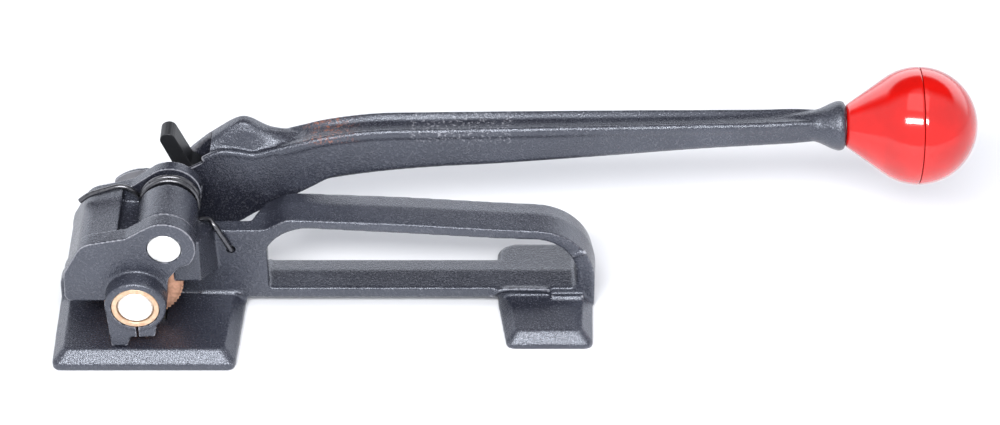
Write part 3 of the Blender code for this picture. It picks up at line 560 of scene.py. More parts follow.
def casting_paint():
    """Dark paint over a sand-cast skin, brighter along its edges: partly rubbed wear, partly a painted
    highlight.
    """
    looks = bpy.context.scene.tensioner_finish
    made = Finish("casting_paint", tuple(looks.paint), IOR=1.56, Specular_IOR_Level=1.0)
    made.shader.inputs["Specular Tint"].default_value = (0.84, 0.89, 1.0, 1.0)
    sand = made.noise(0.8, 3.0, 0.7)
    lumps = made.noise(3.2, 2.0)
    cloud = made.noise(22.0, 3.0)
    base = made.blend(cloud.between(0.35, 0.7), tuple(looks.paint), tuple(looks.paint_light))
    # Convex edges, from the mesh's attribute broken up by noise, blend towards the pale colour: partly
    # rubbed paint, partly a painted highlight along the edges.
    rub_and_highlight = (made.wear() + (made.noise(1.6, 4.0, 0.7) - 0.5) * 0.5).between(0.32, 0.75)
    grains = sand.between(0.50, 0.66)
    colour = made.blend(grains * 0.09, base, tuple(looks.paint_worn_and_highlight))
    colour = made.blend(rub_and_highlight * 0.5, colour, tuple(looks.paint_worn_and_highlight))
    x = made.axis("X")
    high = made.axis("Z").between(71.0, 73.5)
    flecks = made.noise(1.4, 4.0, 0.7)
    smear = x.between(60.0, 66.0) * (1.0 - x.between(78.0, 96.0)) * high
    colour = made.blend(smear * flecks.between(0.48, 0.66) * 0.5, colour, (0.46, 0.14, 0.05))
    patch = x.between(113.0, 115.5) * (1.0 - x.between(156.0, 158.5)) * high
    colour = made.blend(patch * flecks.between(0.52, 0.68) * 0.45, colour, tuple(looks.paint_worn_and_highlight))
    made.bump(sand + lumps * 0.4, looks.sand_depth)
    return made.use(Base_Color=colour, Roughness=0.22 + cloud * 0.08 - grains * 0.08)


def pawl_steel():
    """Blackened forged steel with bare edges."""
    made = Finish("pawl_steel", (0.03, 0.03, 0.032), Metallic=0.6)
    cloud = made.noise(6.0, 4.0)
    rub_and_highlight = (made.wear() + (cloud - 0.5)).between(0.9, 1.8)
    colour = made.blend(rub_and_highlight * 0.8, (0.022, 0.023, 0.026), (0.20, 0.20, 0.21))
    made.bump(made.noise(0.6, 3.0), 0.06)
    return made.use(Base_Color=colour, Roughness=0.32 + cloud * 0.2)


def bright_steel():
    """Turned steel, pale, with fine scratches and small pits."""
    made = Finish("bright_steel", (0.90, 0.90, 0.89), Metallic=0.85)
    cloud = made.noise(3.0, 4.0)
    pits = made.noise(0.7, 3.0, 0.7)
    colour = made.blend(pits.between(0.56, 0.70) * 0.7, (0.92, 0.92, 0.91), (0.36, 0.34, 0.31))
    made.bump(cloud + pits, 0.12)
    return made.use(Base_Color=colour, Roughness=0.26 + cloud * 0.2)


def spring_steel():
    """Oiled spring wire."""
    made = Finish("spring_steel", (0.16, 0.16, 0.17), Metallic=1.0)
    cloud = made.noise(2.0, 3.0)
    colour = made.blend(cloud.between(0.3, 0.7), (0.11, 0.11, 0.12), (0.16, 0.16, 0.17))
    made.bump(made.noise(0.4, 2.0), 0.01)
    return made.use(Base_Color=colour, Roughness=0.24 + cloud * 0.08)


def tool_steel():
    """Hardened steel with grey heat tint."""
    made = Finish("tool_steel", (0.22, 0.21, 0.20), Metallic=1.0)
    cloud = made.noise(5.0, 4.0)
    colour = made.blend(cloud.between(0.3, 0.7), (0.16, 0.155, 0.15), (0.34, 0.32, 0.30))
    made.bump(made.noise(0.5, 3.0), 0.03)
    return made.use(Base_Color=colour, Roughness=0.28 + cloud * 0.2)


def bronze():
    """Pale turned bronze."""
    made = Finish("bronze", (0.80, 0.60, 0.42), Metallic=0.85)
    cloud = made.noise(2.5, 4.0)
    colour = made.blend(cloud.between(0.3, 0.7), (0.80, 0.60, 0.42), (0.66, 0.42, 0.27))
    made.bump(cloud, 0.04)
    return made.use(Base_Color=colour, Roughness=0.32 + cloud * 0.15)


def copper_plate():
    """Copper-coloured plating, darker and duller in random patches."""
    made = Finish("copper_plate", (0.62, 0.36, 0.25), Metallic=0.75)
    cloud = made.noise(2.2, 4.0)
    colour = made.blend(cloud.between(0.3, 0.7), (0.80, 0.46, 0.31), (0.56, 0.29, 0.19))
    made.bump(made.noise(0.8, 4.0), 0.06)
    return made.use(Base_Color=colour, Roughness=0.38 + cloud * 0.2)


def red_plastic():
    """Glossy moulded red plastic."""
    looks = bpy.context.scene.tensioner_finish
    made = Finish("red_plastic", tuple(looks.knob), Coat_Roughness=0.06, IOR=1.5)
    cloud = made.noise(14.0, 3.0)
    deep = tuple(channel * 0.82 for channel in looks.knob)
    colour = made.blend(cloud.between(0.3, 0.7), tuple(looks.knob), deep)
    made.bump(made.noise(9.0, 2.0), 0.03)
    return made.use(Base_Color=colour, Roughness=0.10 + cloud * 0.05, Coat_Weight=0.5)


FINISHES = {
    "casting_paint": casting_paint,
    "pawl_steel": pawl_steel,
    "bright_steel": bright_steel,
    "spring_steel": spring_steel,
    "tool_steel": tool_steel,
    "bronze": bronze,
    "copper_plate": copper_plate,
    "red_plastic": red_plastic,
}


# ---------------------------------------------------------------- Geometry Nodes


def node_group(name, sockets):
    """A geometry tree with named inputs, and its Graph and its input and output nodes."""
    tree = bpy.data.node_groups.new(name, "GeometryNodeTree")
    face = tree.interface
    face.new_socket("Geometry", in_out="INPUT", socket_type="NodeSocketGeometry")
    for label, kind in sockets:
        face.new_socket(label, in_out="INPUT", socket_type=f"NodeSocket{kind}")
    face.new_socket("Geometry", in_out="OUTPUT", socket_type="NodeSocketGeometry")
    graph = Graph(tree)
    return graph, graph.node("NodeGroupInput"), graph.node("NodeGroupOutput")


def grown(source, tree, **inputs):
    """Run a geometry tree on an object and return its result as a plain mesh."""
    modifier = source.modifiers.new(tree.name, "NODES")
    modifier.node_group = tree
    wanted = {key.replace("_", " "): value for key, value in inputs.items()}
    for item in tree.interface.items_tree:
        if item.in_out == "INPUT" and item.name in wanted:
            modifier[item.identifier] = wanted[item.name]
    return plain(source)


def realized(graph, given, result, shape):
    """End a tree in real geometry with the Finish input as its material."""
    real = graph.node("GeometryNodeRealizeInstances", None, shape.outputs[0])
    coat = graph.node("GeometryNodeSetMaterial", None, Geometry=real.outputs[0])
    graph.feed(coat.inputs["Material"], given.outputs["Finish"])
    graph.feed(result.inputs[0], coat.outputs[0])
    return graph.tree


def wire_tree():
    """Sweeps a round wire along the source's edges, on a smooth curve through its points."""
    known = bpy.data.node_groups.get("swept_wire")
    if known:
        return known
    sockets = [("Radius", "Float"), ("Step", "Float"), ("Sides", "Int"), ("Finish", "Material")]
    graph, given, result = node_group("swept_wire", sockets)
    path = graph.node("GeometryNodeMeshToCurve", None, given.outputs["Geometry"])
    spline = graph.node("GeometryNodeCurveSplineType", {"spline_type": "CATMULL_ROM"}, path.outputs[0])
    fine = graph.node("GeometryNodeResampleCurve", {"mode": "LENGTH"}, Curve=spline.outputs[0])
    graph.feed(fine.inputs["Length"], given.outputs["Step"])
    ring = graph.node("GeometryNodeCurvePrimitiveCircle")
    graph.feed(ring.inputs["Resolution"], given.outputs["Sides"])
    graph.feed(ring.inputs["Radius"], given.outputs["Radius"])
    sweep = graph.node("GeometryNodeCurveToMesh", None, fine.outputs[0], ring.outputs[0])
    sweep.inputs["Fill Caps"].default_value = True
    return realized(graph, given, result, sweep)


def wire(name, points, radius, material, sides=20):
    """A round wire along points, with closed ends."""
    mesh = bpy.data.meshes.new(name)
    edges = [(index, index + 1) for index in range(len(points) - 1)]
    mesh.from_pydata([Vector(point) * MM for point in points], edges, [])
    source = linked(name, mesh)
    made = grown(
        source, wire_tree(), Radius=radius * MM, Step=radius * 0.45 * MM, Sides=sides, Finish=material
    )
    bm = bmesh.new()
    bm.from_mesh(made.data)
    bpy.data.objects.remove(made, do_unlink=True)
    return from_bmesh(name, bm)


def repeat_tree():
    """Repeats the source Count times, each copy moved by Shift and turned by Turn about Y."""
    known = bpy.data.node_groups.get("repeated")
    if known:
        return known
    sockets = [("Count", "Int"), ("Centre", "Vector"), ("Shift", "Vector")]
    sockets += [("Turn", "Float"), ("Finish", "Material")]
    graph, given, result = node_group("repeated", sockets)
    index = graph.number(graph.node("GeometryNodeInputIndex"), "Index")
    moved = graph.node("ShaderNodeVectorMath", {"operation": "SCALE"}, given.outputs["Shift"])
    graph.feed(moved.inputs["Scale"], index)
    centre = given.outputs["Centre"]
    place = graph.node("ShaderNodeVectorMath", {"operation": "ADD"}, centre, moved.outputs[0])
    spots = graph.node("GeometryNodePoints", None, given.outputs["Count"], place.outputs[0])
    spin = graph.node("ShaderNodeCombineXYZ", None, 0.0, index * given.outputs["Turn"], 0.0)
    copies = graph.node("GeometryNodeInstanceOnPoints", None, spots.outputs[0])
    graph.feed(copies.inputs["Instance"], given.outputs["Geometry"])
    graph.feed(copies.inputs["Rotation"], spin.outputs[0])
    return realized(graph, given, result, copies)


def repeated(tooth, count, material, centre=(0.0, 0.0, 0.0), shift=(0.0, 0.0, 0.0), turn=0.0):
    """Copies of a small body in a row or round the Y axis through centre."""
    return grown(
        tooth,
        repeat_tree(),
        Count=count,
        Centre=tuple(Vector(centre) * MM),
        Shift=tuple(Vector(shift) * MM),
        Turn=turn,
        Finish=material,
    )


def coil(axis_point, radius, start, turns, pitch, per_turn=16):
    """Points of a helix round a Y axis, from a start angle in degrees, towards +Y."""
    count = round(abs(turns) * per_turn)
    points = []
    for step in range(count + 1):
        share = turns * step / count
        turn = math.radians(start + 360 * share)
        x = axis_point[0] + radius * math.cos(turn)
        z = axis_point[2] + radius * math.sin(turn)
        points.append((x, axis_point[1] + pitch * abs(share), z))
    return points


# ---------------------------------------------------------------- base


def plan_ring(corners, z):
    """A rounded outline in the XY plane, at one height."""
    return [(x, y, z) for x, y in rounded(corners)]


def bevelled_foot(corners, edge, bevel, top):
    """A foot with an upright edge and a slope up to its flat top."""
    inner = inset(corners, bevel)
    return loft([plan_ring(corners, 0.0), plan_ring(corners, edge), plan_ring(inner, top)])


def base_solids():
    """The overlapping solids of the base casting."""
    rear = [(-36.4, -32.7, 3.4), (40.6, -32.7, 3.4), (43.4, 21.3, 3.4), (-37.0, 21.3, 3.4)]
    front = [
        (155.0, -18.7, 3.0), (191.4, -18.7, 3.0), (192.6, 42.3, 8.0), (150.4, 42.3, 8.0),
        (151.4, 9.2, 8.0),
    ]
    pad = [(151.4, 20.0, 2.0), (192.0, 20.0, 2.0), (192.4, 43.0, 8.0), (150.8, 43.0, 8.0)]
    wall = rounded(
        [
            (-36.4, 2.0), (43.0, 2.0), (44.0, 5.3), (53.0, 5.3), (53.0, 42.0), (13.5, 42.0),
            (13.5, 20.0, 4.0), (-36.2, 20.0, 8.0),
        ]
    )
    near = [(x, -9.7, z) for x in (15.0, 26.2) for z in (30.3, 51.0)]
    far = [(15.0, 10.2, 12.0), (32.4, 10.2, 21.8), (15.0, 10.2, 52.0), (31.0, 10.2, 44.5)]
    pad_rings = [plan_ring(pad, 1.0), plan_ring(pad, 6.9)]
    pad_top = plan_ring(inset(pad, 1.6), 0)
    pad_rings.append([(x, y, 10.9 - (y - 20.8) * 0.11) for x, y, _ in pad_top])
    return [
        bevelled_foot(rear, 3.2, 4.8, 8.0),
        bevelled_foot(front, 2.1, 4.5, 6.6),
        loft(pad_rings),
        spring_cleared(prism([wall], WALL)),
        hull(near + far),
        cross_rod(12.5, HINGE, BARREL, 96),
        cross_rod(10.2, HINGE, (-5.3, 18.9), 96),
        loop_solid(),
        ridge([(148.0, 8.9, 6.4), (154.0, 8.9, 9.9), (171.0, 8.9, 9.9), (173.0, 9.4, 8.6)], 1.0),
        ridge([(174.0, 7.4, 7.2), (188.0, 7.4, 7.2)], 1.0),
        ridge([(183.0, 9.2, 28.6), (188.8, 9.2, 30.8)], 1.1),
        ridge([(24.0, 9.0, 8.3), (41.0, 9.0, 8.3)], 0.7),
    ]


def ridge(points, radius):
    """A low cast ridge along points."""
    return wire("solid", points, radius, None, 12)


def spring_cleared(wall):
    """The wall with room for the spring and for the shaft's spacer."""
    return machined(
        wall, [cross_rod(14.5, HINGE, (9.9, 20.0), 96), cross_rod(10.3, SHAFT, (5.0, 20.0), 72)]
    )


def loop_solid():
    """The closed hand grip between the two feet, with its opening."""
    outer = rounded(
        [
            (46.0, 5.3), (158.0, 5.3), (158.0, 1.0), (192.6, 1.0), (192.6, 40.0, 26.5),
            (152.0, 42.3), (110.0, 45.3), (61.5, 47.5, 11.0), (52.5, 42.0, 10.0), (46.0, 42.0),
        ],
        16,
    )
    inner = rounded(
        [
            (50.8, 10.4, 4.0), (185.0, 10.4, 3.0), (185.0, 36.2, 19.0), (152.0, 37.5),
            (110.0, 40.5), (50.8, 44.2, 20.0),
        ],
        16,
    )
    crown_y = 20.8
    bands = [(WALL[0] + 0.05, 0.0), (crown_y, 0.6), (LOOP_FAR, -0.7)]
    room = [(4.0, 0.0), (WALL[0] + 0.05, 0.0), (crown_y, -0.6), (LOOP_FAR, 0.7), (34.0, 0.7)]
    slant = [(40.0, 16.2), (46.5, 16.2), (52.0, 29.7), (53.0, 32.0), (40.0, 32.0)]
    end = hull([(x, y, z) for x, y in slant for z in (-2.0, 60.0)])
    return machined(banded(outer, bands), [banded(inner, room), end])


def wheel_room():
    """The space that the feed wheel needs as the housing swings about the hinge."""
    points = []
    for tilt in (0.0, 9.0):
        spoke = Vector((SHAFT_X - HINGE_X, SHAFT_Z - HINGE_Z))
        spoke.rotate(Matrix.Rotation(-math.radians(tilt), 2))
        for x, z in arc((HINGE_X + spoke.x, HINGE_Z + spoke.y), 19.2, 0.0, 355.0, 71):
            points.append((x, -9.1, z))
            points.append((x, 9.1, z))
    return hull(points)


def base_cutters():
    """The machined features of the base."""
    recess = [(-10.5, 4.2), (10.5, 4.2), (10.5, 12.0), (-10.5, 12.0)]
    cutters = [
        wheel_room(),
        cross_rod(PIN_R + GAP, HINGE, (-15.0, 25.0)),
        prism([recess], (-8.5, 8.5)),
        cross_rod(2.05, (37.8, 32.0), (5.0, 20.0), 32),
    ]
    for x in (-6.0, 6.0):
        cutters.append(rod(1.8, (x, 0, -1), (x, 0, 5), 32))
        cutters.append(rod(3.1, (x, 0, -1), (x, 0, 2.4), 32))
    return cutters


# ---------------------------------------------------------------- housing


def cheek_outline(drop):
    """A cheek's outline: the cover's curve, the hinge lug and the shaft's end of the cheek."""
    crown = [
        (-30.4, 26.3, 3.0),
        (-29.9, 41.0 - drop, 8.0),
        (-21.5, 56.0 - drop, 9.0),
        (-3.0, 59.5 - drop / 2, 3.0),
    ]
    lug = arc(HINGE, 13.0, 117.0, -40.0, 40)
    throat = [(18.5, 44.0, 3.0), (13.6, 38.0, 5.0), (12.7, 29.0), (11.5, 26.3)]
    return list(reversed(rounded(crown + lug + throat)))


def cover_outline():
    """The section of the curved cover between the cheeks."""
    outer = [(-30.0, 26.9, 3.0), (-29.5, 39.0, 8.0), (-22.4, 52.6, 9.0), (-7.0, 57.0)]
    inner = [(-7.0, 52.5), (-17.5, 50.0, 6.0), (-24.2, 39.0, 6.0), (-24.4, 26.9)]
    return list(reversed(rounded(outer + inner)))


def housing_solids():
    """The overlapping solids of the housing casting."""
    boss = [
        (0.0, -12.7),
        (BOSS_R, -12.7),
        (BOSS_R, BOSS_FACE + 1.3),
        (BOSS_R - 0.4, BOSS_FACE + 0.4),
        (BOSS_R - 1.3, BOSS_FACE),
        (0.0, BOSS_FACE),
    ]
    blade = [(-12.8, 31.0), (-11.3, 8.4), (-4.6, 8.4), (-2.9, 13.1), (1.0, 13.3), (1.0, 29.0)]
    block = [(0.0, 30.0), (0.0, 13.3), (7.4, 13.6), (8.2, 18.5), (10.5, 28.0)]
    # A thin dark sheet under the cover that hides the feed wheel. It stands in for the shade in the
    # slot above the wheel.
    slot_shade_sheet = [(-9.0, 51.6), (-9.0, 49.4), (-4.5, 48.8), (0.2, 48.6), (0.2, 49.6), (-6.5, 50.0)]
    pawl_ear = rounded([(-29.8, 30.0), (-30.0, 10.6, 6.0), (-17.6, 10.6, 6.0), (-12.0, 30.0)])
    stop_ear = rounded(
        [(0.0, 24.0), (9.0, 11.0, 4.0), (25.0, 10.0, 3.0), (25.0, 20.6), (12.0, 31.0)]
    )
    stop = [(15.4, 11.5), (24.6, 11.5), (24.6, 20.4), (15.4, 15.2)]
    return [
        prism([cheek_outline(0.0)], NEAR_CHEEK),
        prism([cover_outline()], (-13.7, 20.3)),
        prism([slot_shade_sheet], (-13.7, 20.3)),
        prism([cheek_outline(2.4)], FAR_CHEEK),
        turned(boss, (SHAFT_X, 0.0, SHAFT_Z), "Y", 96, closed=False),
        cross_rod(BOSS_R, SHAFT, (17.0, 22.8), 96),
        prism([blade], (BOSS_FACE + 0.3, BOSS_FACE + 2.8)),
        prism([block], (BOSS_FACE + 0.3, NEAR_CHEEK[0] + 1.0)),
        prism([pawl_ear], (19.4, 24.7)),
        cross_rod(4.9, HOLD, (20.0, 32.5), 64),
        prism([stop_ear], (19.4, 24.7)),
        prism([stop], (21.0, 36.0)),
    ]


def housing_cutters():
    """The bores of the housing."""
    y = sum(FAR_CHEEK) / 2
    slit = [(-0.5, 8.0), (0.7, 8.0), (0.7, 19.0), (-0.5, 19.0)]
    return [
        prism([slit], (-28.0, -17.0)),
        cross_rod(PIN_R + GAP, HINGE, (-25.0, 30.0)),
        cross_rod(BUSH_R + GAP, SHAFT, (-30.0, 30.0)),
        cross_rod(PAWL_PIN_BORE, HOLD, (15.0, 35.0), 32),
        rod(1.8, (HINGE_X, y, HINGE_Z), (HINGE_X + 20.0, y, HINGE_Z), 32),
    ]


# ---------------------------------------------------------------- lever

# Lever arm: x, lower edge, top of the beads, width across, groove depth
ARM_STATIONS = (
    (58.0, 43.5, 69.2, 15.0, 0.5), (66.6, 48.3, 71.8, 15.0, 1.2), (79.5, 52.2, 75.4, 15.0, 2.0),
    (100.0, 55.8, 78.3, 15.0, 2.4), (125.0, 58.5, 78.9, 15.0, 2.4),
    (152.0, 60.1, 79.4, 14.6, 2.2), (194.0, 63.6, 80.1, 14.0, 2.0),
    (236.0, 67.3, 80.7, 13.2, 1.6), (262.0, 69.1, 81.1, 12.6, 1.0),
    (276.0, 70.1, 81.7, 12.2, 0.5), (287.0, 71.0, 81.6, 11.0, 0.1),
)


def arm_ring(station):
    """The arm's section: recessed sides, a bead along each top edge and a groove between them."""
    x, low, high, width, groove = station
    half = width / 2
    recess = min(0.5, groove * 0.3)
    bead = 2.4
    side = [
        (half - recess - 2.2, low),
        (half - recess - 0.8, low + 0.5),
        (half - recess, low + 2.4),
        (half - recess, high - 4.6),
        (half - recess * 0.3, high - 3.9),
        (half, high - 2.8),
        (half - 0.15, high - 1.2),
        (half - 1.0, high - 0.2),
        (half - 2.0, high),
        (half - bead - 0.9, high - 0.3 - groove * 0.25),
        (half - bead - 2.0, high - groove * 0.85),
    ]
    right = [(KNOB_Y + y, z) for y, z in side]
    left = [(KNOB_Y - y, z) for y, z in reversed(side)]
    return [(x, y, z) for y, z in right + [(KNOB_Y, high - groove)] + left]


def smoothed(stations, steps=6):
    """More stations between the given ones, on a Catmull-Rom curve."""
    table = np.array(stations, float)
    padded = np.vstack([2 * table[0] - table[1], table, 2 * table[-1] - table[-2]])
    made = []
    for index in range(1, len(padded) - 2):
        a, b, c, d = padded[index - 1 : index + 3]
        for share in np.arange(steps) / steps:
            curve = 2 * b + (c - a) * share + (2 * a - 5 * b + 4 * c - d) * share**2
            made.append(0.5 * (curve + (3 * b - a - 3 * c + d) * share**3))
    made.append(padded[-2])
    return made


def lever_outline():
    """The side view of the lever's head."""
    top_left = math.degrees(math.acos(-13.8 / HUB_R))
    return [
        *arc(SHAFT, HUB_R, 75.0, top_left, 16),
        *arc(SHAFT, HUB_R, 360.0 - top_left, 296.0, 30),
        *rounded(
            [
                (41.4, 30.6), (48.3, 35.5), (66.0, 48.2, 14.0), (70.0, 52.0), (70.0, 71.8),
                (60.2, 69.0), (47.4, 64.9, 8.0), (35.0, 66.8, 6.0), (26.0, 61.8, 3.0),
                (19.6, 58.2), (12.0, 52.0),
            ]
        ),
    ]


# Hump behind the slot: x, height of its top
HUMP_TOP = (
    (28.0, 68.6), (31.0, 70.8), (34.0, 73.0), (38.0, 75.8), (42.6, 77.8), (46.5, 77.0),
    (50.6, 74.4), (54.6, 72.3), (60.0, 71.2), (66.0, 71.0), (72.0, 71.2), (78.0, 71.0),
)


def hump():
    """The raised back of the head, sloping down to the near bead and flat on top."""
    rings = []
    for x, top in smoothed(HUMP_TOP, 4):
        near = min(top - 0.6, 65.0 + max(0.0, x - 50.0) * 0.34)
        rings.append(
            [
                (x, 33.0, 56.0),
                (x, 33.0, near),
                (x, 36.2, top - (top - near) * 0.28),
                (x, 38.0, top - 0.3),
                (x, 40.0, top),
                (x, 43.0, top - 0.2),
                (x, 44.9, top - 1.6),
                (x, 44.9, 56.0),
            ]
        )
    return loft(rings)


def lever_solids():
    """The overlapping solids of the lever."""
    collar = [
        (0.0, 297.8), (9.4, 297.8), (10.3, 297.0), (10.6, 295.6), (10.3, 293.8), (9.4, 291.6),
        (8.4, 289.6), (7.4, 287.4), (6.5, 284.5), (5.9, 281.0), (5.4, 277.0), (4.8, 272.0),
        (0.0, 272.0),
    ]
    far_edge = [(9.0, 48.0), (21.0, 61.2), (28.0, 67.6), (32.0, 69.5), (32.0, 55.0), (12.0, 46.0)]
    beads = []
    line = [
        (26.0, 62.4), (30.7, 65.1), (35.0, 66.4), (41.0, 65.8), (47.4, 64.7), (53.0, 66.0),
        (60.2, 68.2), (66.6, 70.1), (79.5, 73.7),
    ]
    for y in (LEVER[0] + 1.7, LEVER[1] - 1.7):
        beads.append(wire("solid", [(x, y, z) for x, z in line], 1.6, None, 16))
    web = [
        (46.0, 33.9), (59.6, 41.5), (66.0, 45.0), (72.0, 48.6), (78.0, 52.4), (84.0, 56.5),
        (84.0, 60.0), (46.0, 60.0),
    ]
    return [
        prism([lever_outline()], (LEVER[0] + 0.4, LEVER[1] - 0.4)),
        prism([web], (LEVER[0] + 0.5, LEVER[1] - 0.5)),
        hump(),
        prism([far_edge], (LEVER[1] - 3.0, LEVER[1] - 0.3)),
        loft([arm_ring(station) for station in smoothed(ARM_STATIONS)]),
        turned(collar, (0.0, KNOB_Y, KNOB_Z), "X", 72, closed=False),
        *beads,
    ]


def lever_cutters():
    """The bores and the pawl's slot in the lever."""
    cavity = [
        (-30.0, -5.0), (3.0, -5.0),
        *arc(SHAFT, 17.5, -80.0, -38.0, 12),
        (20.5, 22.8), (26.3, 25.6), (28.5, 36.0), (29.0, 52.0), (28.8, 64.0), (33.0, 90.0),
        (-30.0, 90.0),
    ]
    return [
        prism([cavity], FORK_SLOT),
        cross_rod(SHAFT_R + GAP, SHAFT, (20.0, 50.0)),
        cross_rod(PAWL_PIN_BORE, DRIVE, (25.0, 50.0), 32),
        rod(3.8, (24.0, KNOB_Y, 42.0), (36.0, KNOB_Y, 42.0), 32),
        rod(KNOB_BORE, (284.3, KNOB_Y, KNOB_Z), (305.0, KNOB_Y, KNOB_Z), 32),
    ]


# ---------------------------------------------------------------- knob

KNOB_R = 25.0
KNOB_X = 329.0
KNOB_NECK_X = 298.1
KNOB_CONE = 35.4
KNOB_HOLE_END = 343.3
SEAM = 0.12


def knob_radius(x):
    """The knob's radius at x: a ball, with a cone that meets it smoothly on the neck side."""
    cone = math.radians(KNOB_CONE)
    touch = KNOB_X - KNOB_R * math.sin(cone)
    if x < touch:
        return KNOB_R * math.cos(cone) - (touch - x) * math.tan(cone)
    return math.sqrt(max(KNOB_R**2 - (x - KNOB_X) ** 2, 0.0))


def knob_neck():
    """The neck-side half, with an eased edge at the seam and at the neck."""
    split = KNOB_X - SEAM
    rim = knob_radius(split)
    section = [(KNOB_BORE, split), (rim - 0.5, split)]
    section += [(rim - 0.12, split - 0.12), (rim, split - 0.4)]
    for x in np.linspace(split - 1.0, KNOB_NECK_X + 0.6, 40):
        section.append((knob_radius(x), x))
    section += [(knob_radius(KNOB_NECK_X) - 0.25, KNOB_NECK_X + 0.1)]
    section += [(knob_radius(KNOB_NECK_X) - 0.9, KNOB_NECK_X), (KNOB_BORE, KNOB_NECK_X)]
    return turned(section, (0.0, KNOB_Y, KNOB_Z), "X", 128, name="knob_neck")


def knob_dome():
    """The domed half, with an eased edge at the seam and a blind hole for the stud."""
    split = KNOB_X + SEAM
    section = [(0.0, KNOB_X + KNOB_R)]
    for turn in np.radians(np.linspace(3.0, 88.0, 36)):
        section.append((KNOB_R * math.sin(turn), KNOB_X + KNOB_R * math.cos(turn)))
    section += [(KNOB_R - 0.12, split + 0.12), (KNOB_R - 0.5, split), (KNOB_BORE, split)]
    section += [(KNOB_BORE, KNOB_HOLE_END), (0.0, KNOB_HOLE_END)]
    return turned(section, (0.0, KNOB_Y, KNOB_Z), "X", 128, closed=False, name="knob_dome")


# ---------------------------------------------------------------- add-on


def colour_setting(name, description, default):
    """A colour in the sidebar."""
    return bpy.props.FloatVectorProperty(
        name=name, description=description, subtype="COLOR", default=default, min=0.0, max=1.0
    )


class TensionerFinish(bpy.types.PropertyGroup):
    """Colours and textures of the finishes."""

    paint: colour_setting("Paint", "Colour of the paint on the castings", (0.013, 0.014, 0.023))
    paint_light: colour_setting(
        "Paint, pale patches", "Colour of the paint where it has faded", (0.022, 0.024, 0.036)
    )
    # The pale edge colour stands for worn paint and also for the painted highlight along the castings'
    # edges.
    paint_worn_and_highlight: colour_setting("Worn paint and edge highlight", "Colour along rubbed edges, also their painted highlight", (0.46, 0.46, 0.50))
    knob: colour_setting("Knob", "Colour of the knob's plastic", (0.62, 0.006, 0.004))
    sand_depth: bpy.props.FloatProperty(
        name="Sand depth",
        description="Depth of the sand-cast texture, in millimetres",
        default=0.24,
        min=0.0,
        max=2.0,
    )


class TensionerSizes(bpy.types.PropertyGroup):
    """Sizes of the fine model."""

    grain: bpy.props.FloatProperty(
        name="Skin grain",
        description="Size of the cells that the castings are fused from, in millimetres",
        default=0.6,
        min=0.4,
        max=2.0,
    )
    softening: bpy.props.IntProperty(
        name="Softening",
        description="How often the castings' skin is smoothed",
        default=7,
        min=0,
        max=30,
    )


class TENSIONER_OT_base(bpy.types.Operator):
    """Cast the base with its feet, wall, hinge barrel and loop handle."""

    bl_idname = "tensioner.base"
    bl_label = "Base"

    def execute(self, context):
        sizes = context.scene.tensioner_sizes
        made = fused("base_body", base_solids(), sizes.grain, sizes.softening, 0.45)
        made = machined(made, base_cutters())
        mark_wear_and_highlight(made)
        dressed(made, "casting_paint", "base", "base_casting")
        return {"FINISHED"}


class TENSIONER_OT_housing(bpy.types.Operator):
    """Cast the swinging housing."""

    bl_idname = "tensioner.housing"
    bl_label = "Housing"

    def execute(self, context):
        sizes = context.scene.tensioner_sizes
        made = fused("housing_body", housing_solids(), sizes.grain * 0.75, sizes.softening, 0.5)
        made = machined(made, housing_cutters())
        mark_wear_and_highlight(made)
        dressed(made, "casting_paint", "housing", "housing_casting")
        return {"FINISHED"}


class TENSIONER_OT_lever(bpy.types.Operator):
    """Cast the lever with its fork, hump, arm and collar."""

    bl_idname = "tensioner.lever"
    bl_label = "Lever"

    def execute(self, context):
        sizes = context.scene.tensioner_sizes
        made = fused("lever_body", lever_solids(), sizes.grain * 0.8, sizes.softening, 0.5)
        made = machined(made, lever_cutters())
        hubs = [cross_ring((28.2, LEVER[0] + 1.0)), cross_ring((LEVER[1] - 1.0, 46.1))]
        made = machined(made, hubs, "UNION")
        mark_wear_and_highlight(made)
        dressed(made, "casting_paint", "lever", "lever")
        return {"FINISHED"}


def cross_ring(span):
    """A machined hub face round the shaft."""
    return sleeve(HUB_FACE_R, SHAFT_R + GAP, SHAFT, span)


class TENSIONER_OT_knob(bpy.types.Operator):
    """Mould the knob's two halves."""

    bl_idname = "tensioner.knob"
    bl_label = "Knob"

    def execute(self, context):
        dressed(knob_neck(), "red_plastic", "lever", "knob_neck_half")
        dressed(knob_dome(), "red_plastic", "lever", "knob_end_half")
        return {"FINISHED"}


class TENSIONER_OT_springs(bpy.types.Operator):
    """Wind the torsion spring round the hinge."""

    bl_idname = "tensioner.springs"
    bl_label = "Springs"

    def execute(self, context):
        steel = finish("spring_steel")
        start, end = -60.0, -160.0
        turns = (end - start) / 360 - 2
        helix = coil((HINGE_X, 11.2, HINGE_Z), 11.75, start, turns, 2.65)
        wall_leg = [
            (38.0, 14.5, 32.0), (37.8, 9.6, 32.0), (37.5, 8.0, 33.4), (34.6, 7.6, 40.0),
            (32.6, 7.6, 44.3), (31.3, 8.3, 46.2), (29.8, 10.2, 47.1), (27.2, 11.2, 47.0),
            (24.0, 11.3, 46.3),
        ]
        cover_leg = [
            (0.4, 17.3, 53.4), (-2.5, 17.3, 56.8), (-4.8, 17.3, 58.7), (-7.0, 17.3, 59.4),
            (-10.0, 17.3, 59.2), (-17.0, 17.2, 56.9), (-21.8, 17.2, 54.9), (-25.4, 17.2, 51.9),
        ]
        main = wire("torsion_spring", wall_leg + helix + cover_leg, 1.15, steel)
        dressed(main, "spring_steel", "housing", "housing_spring")
        return {"FINISHED"}


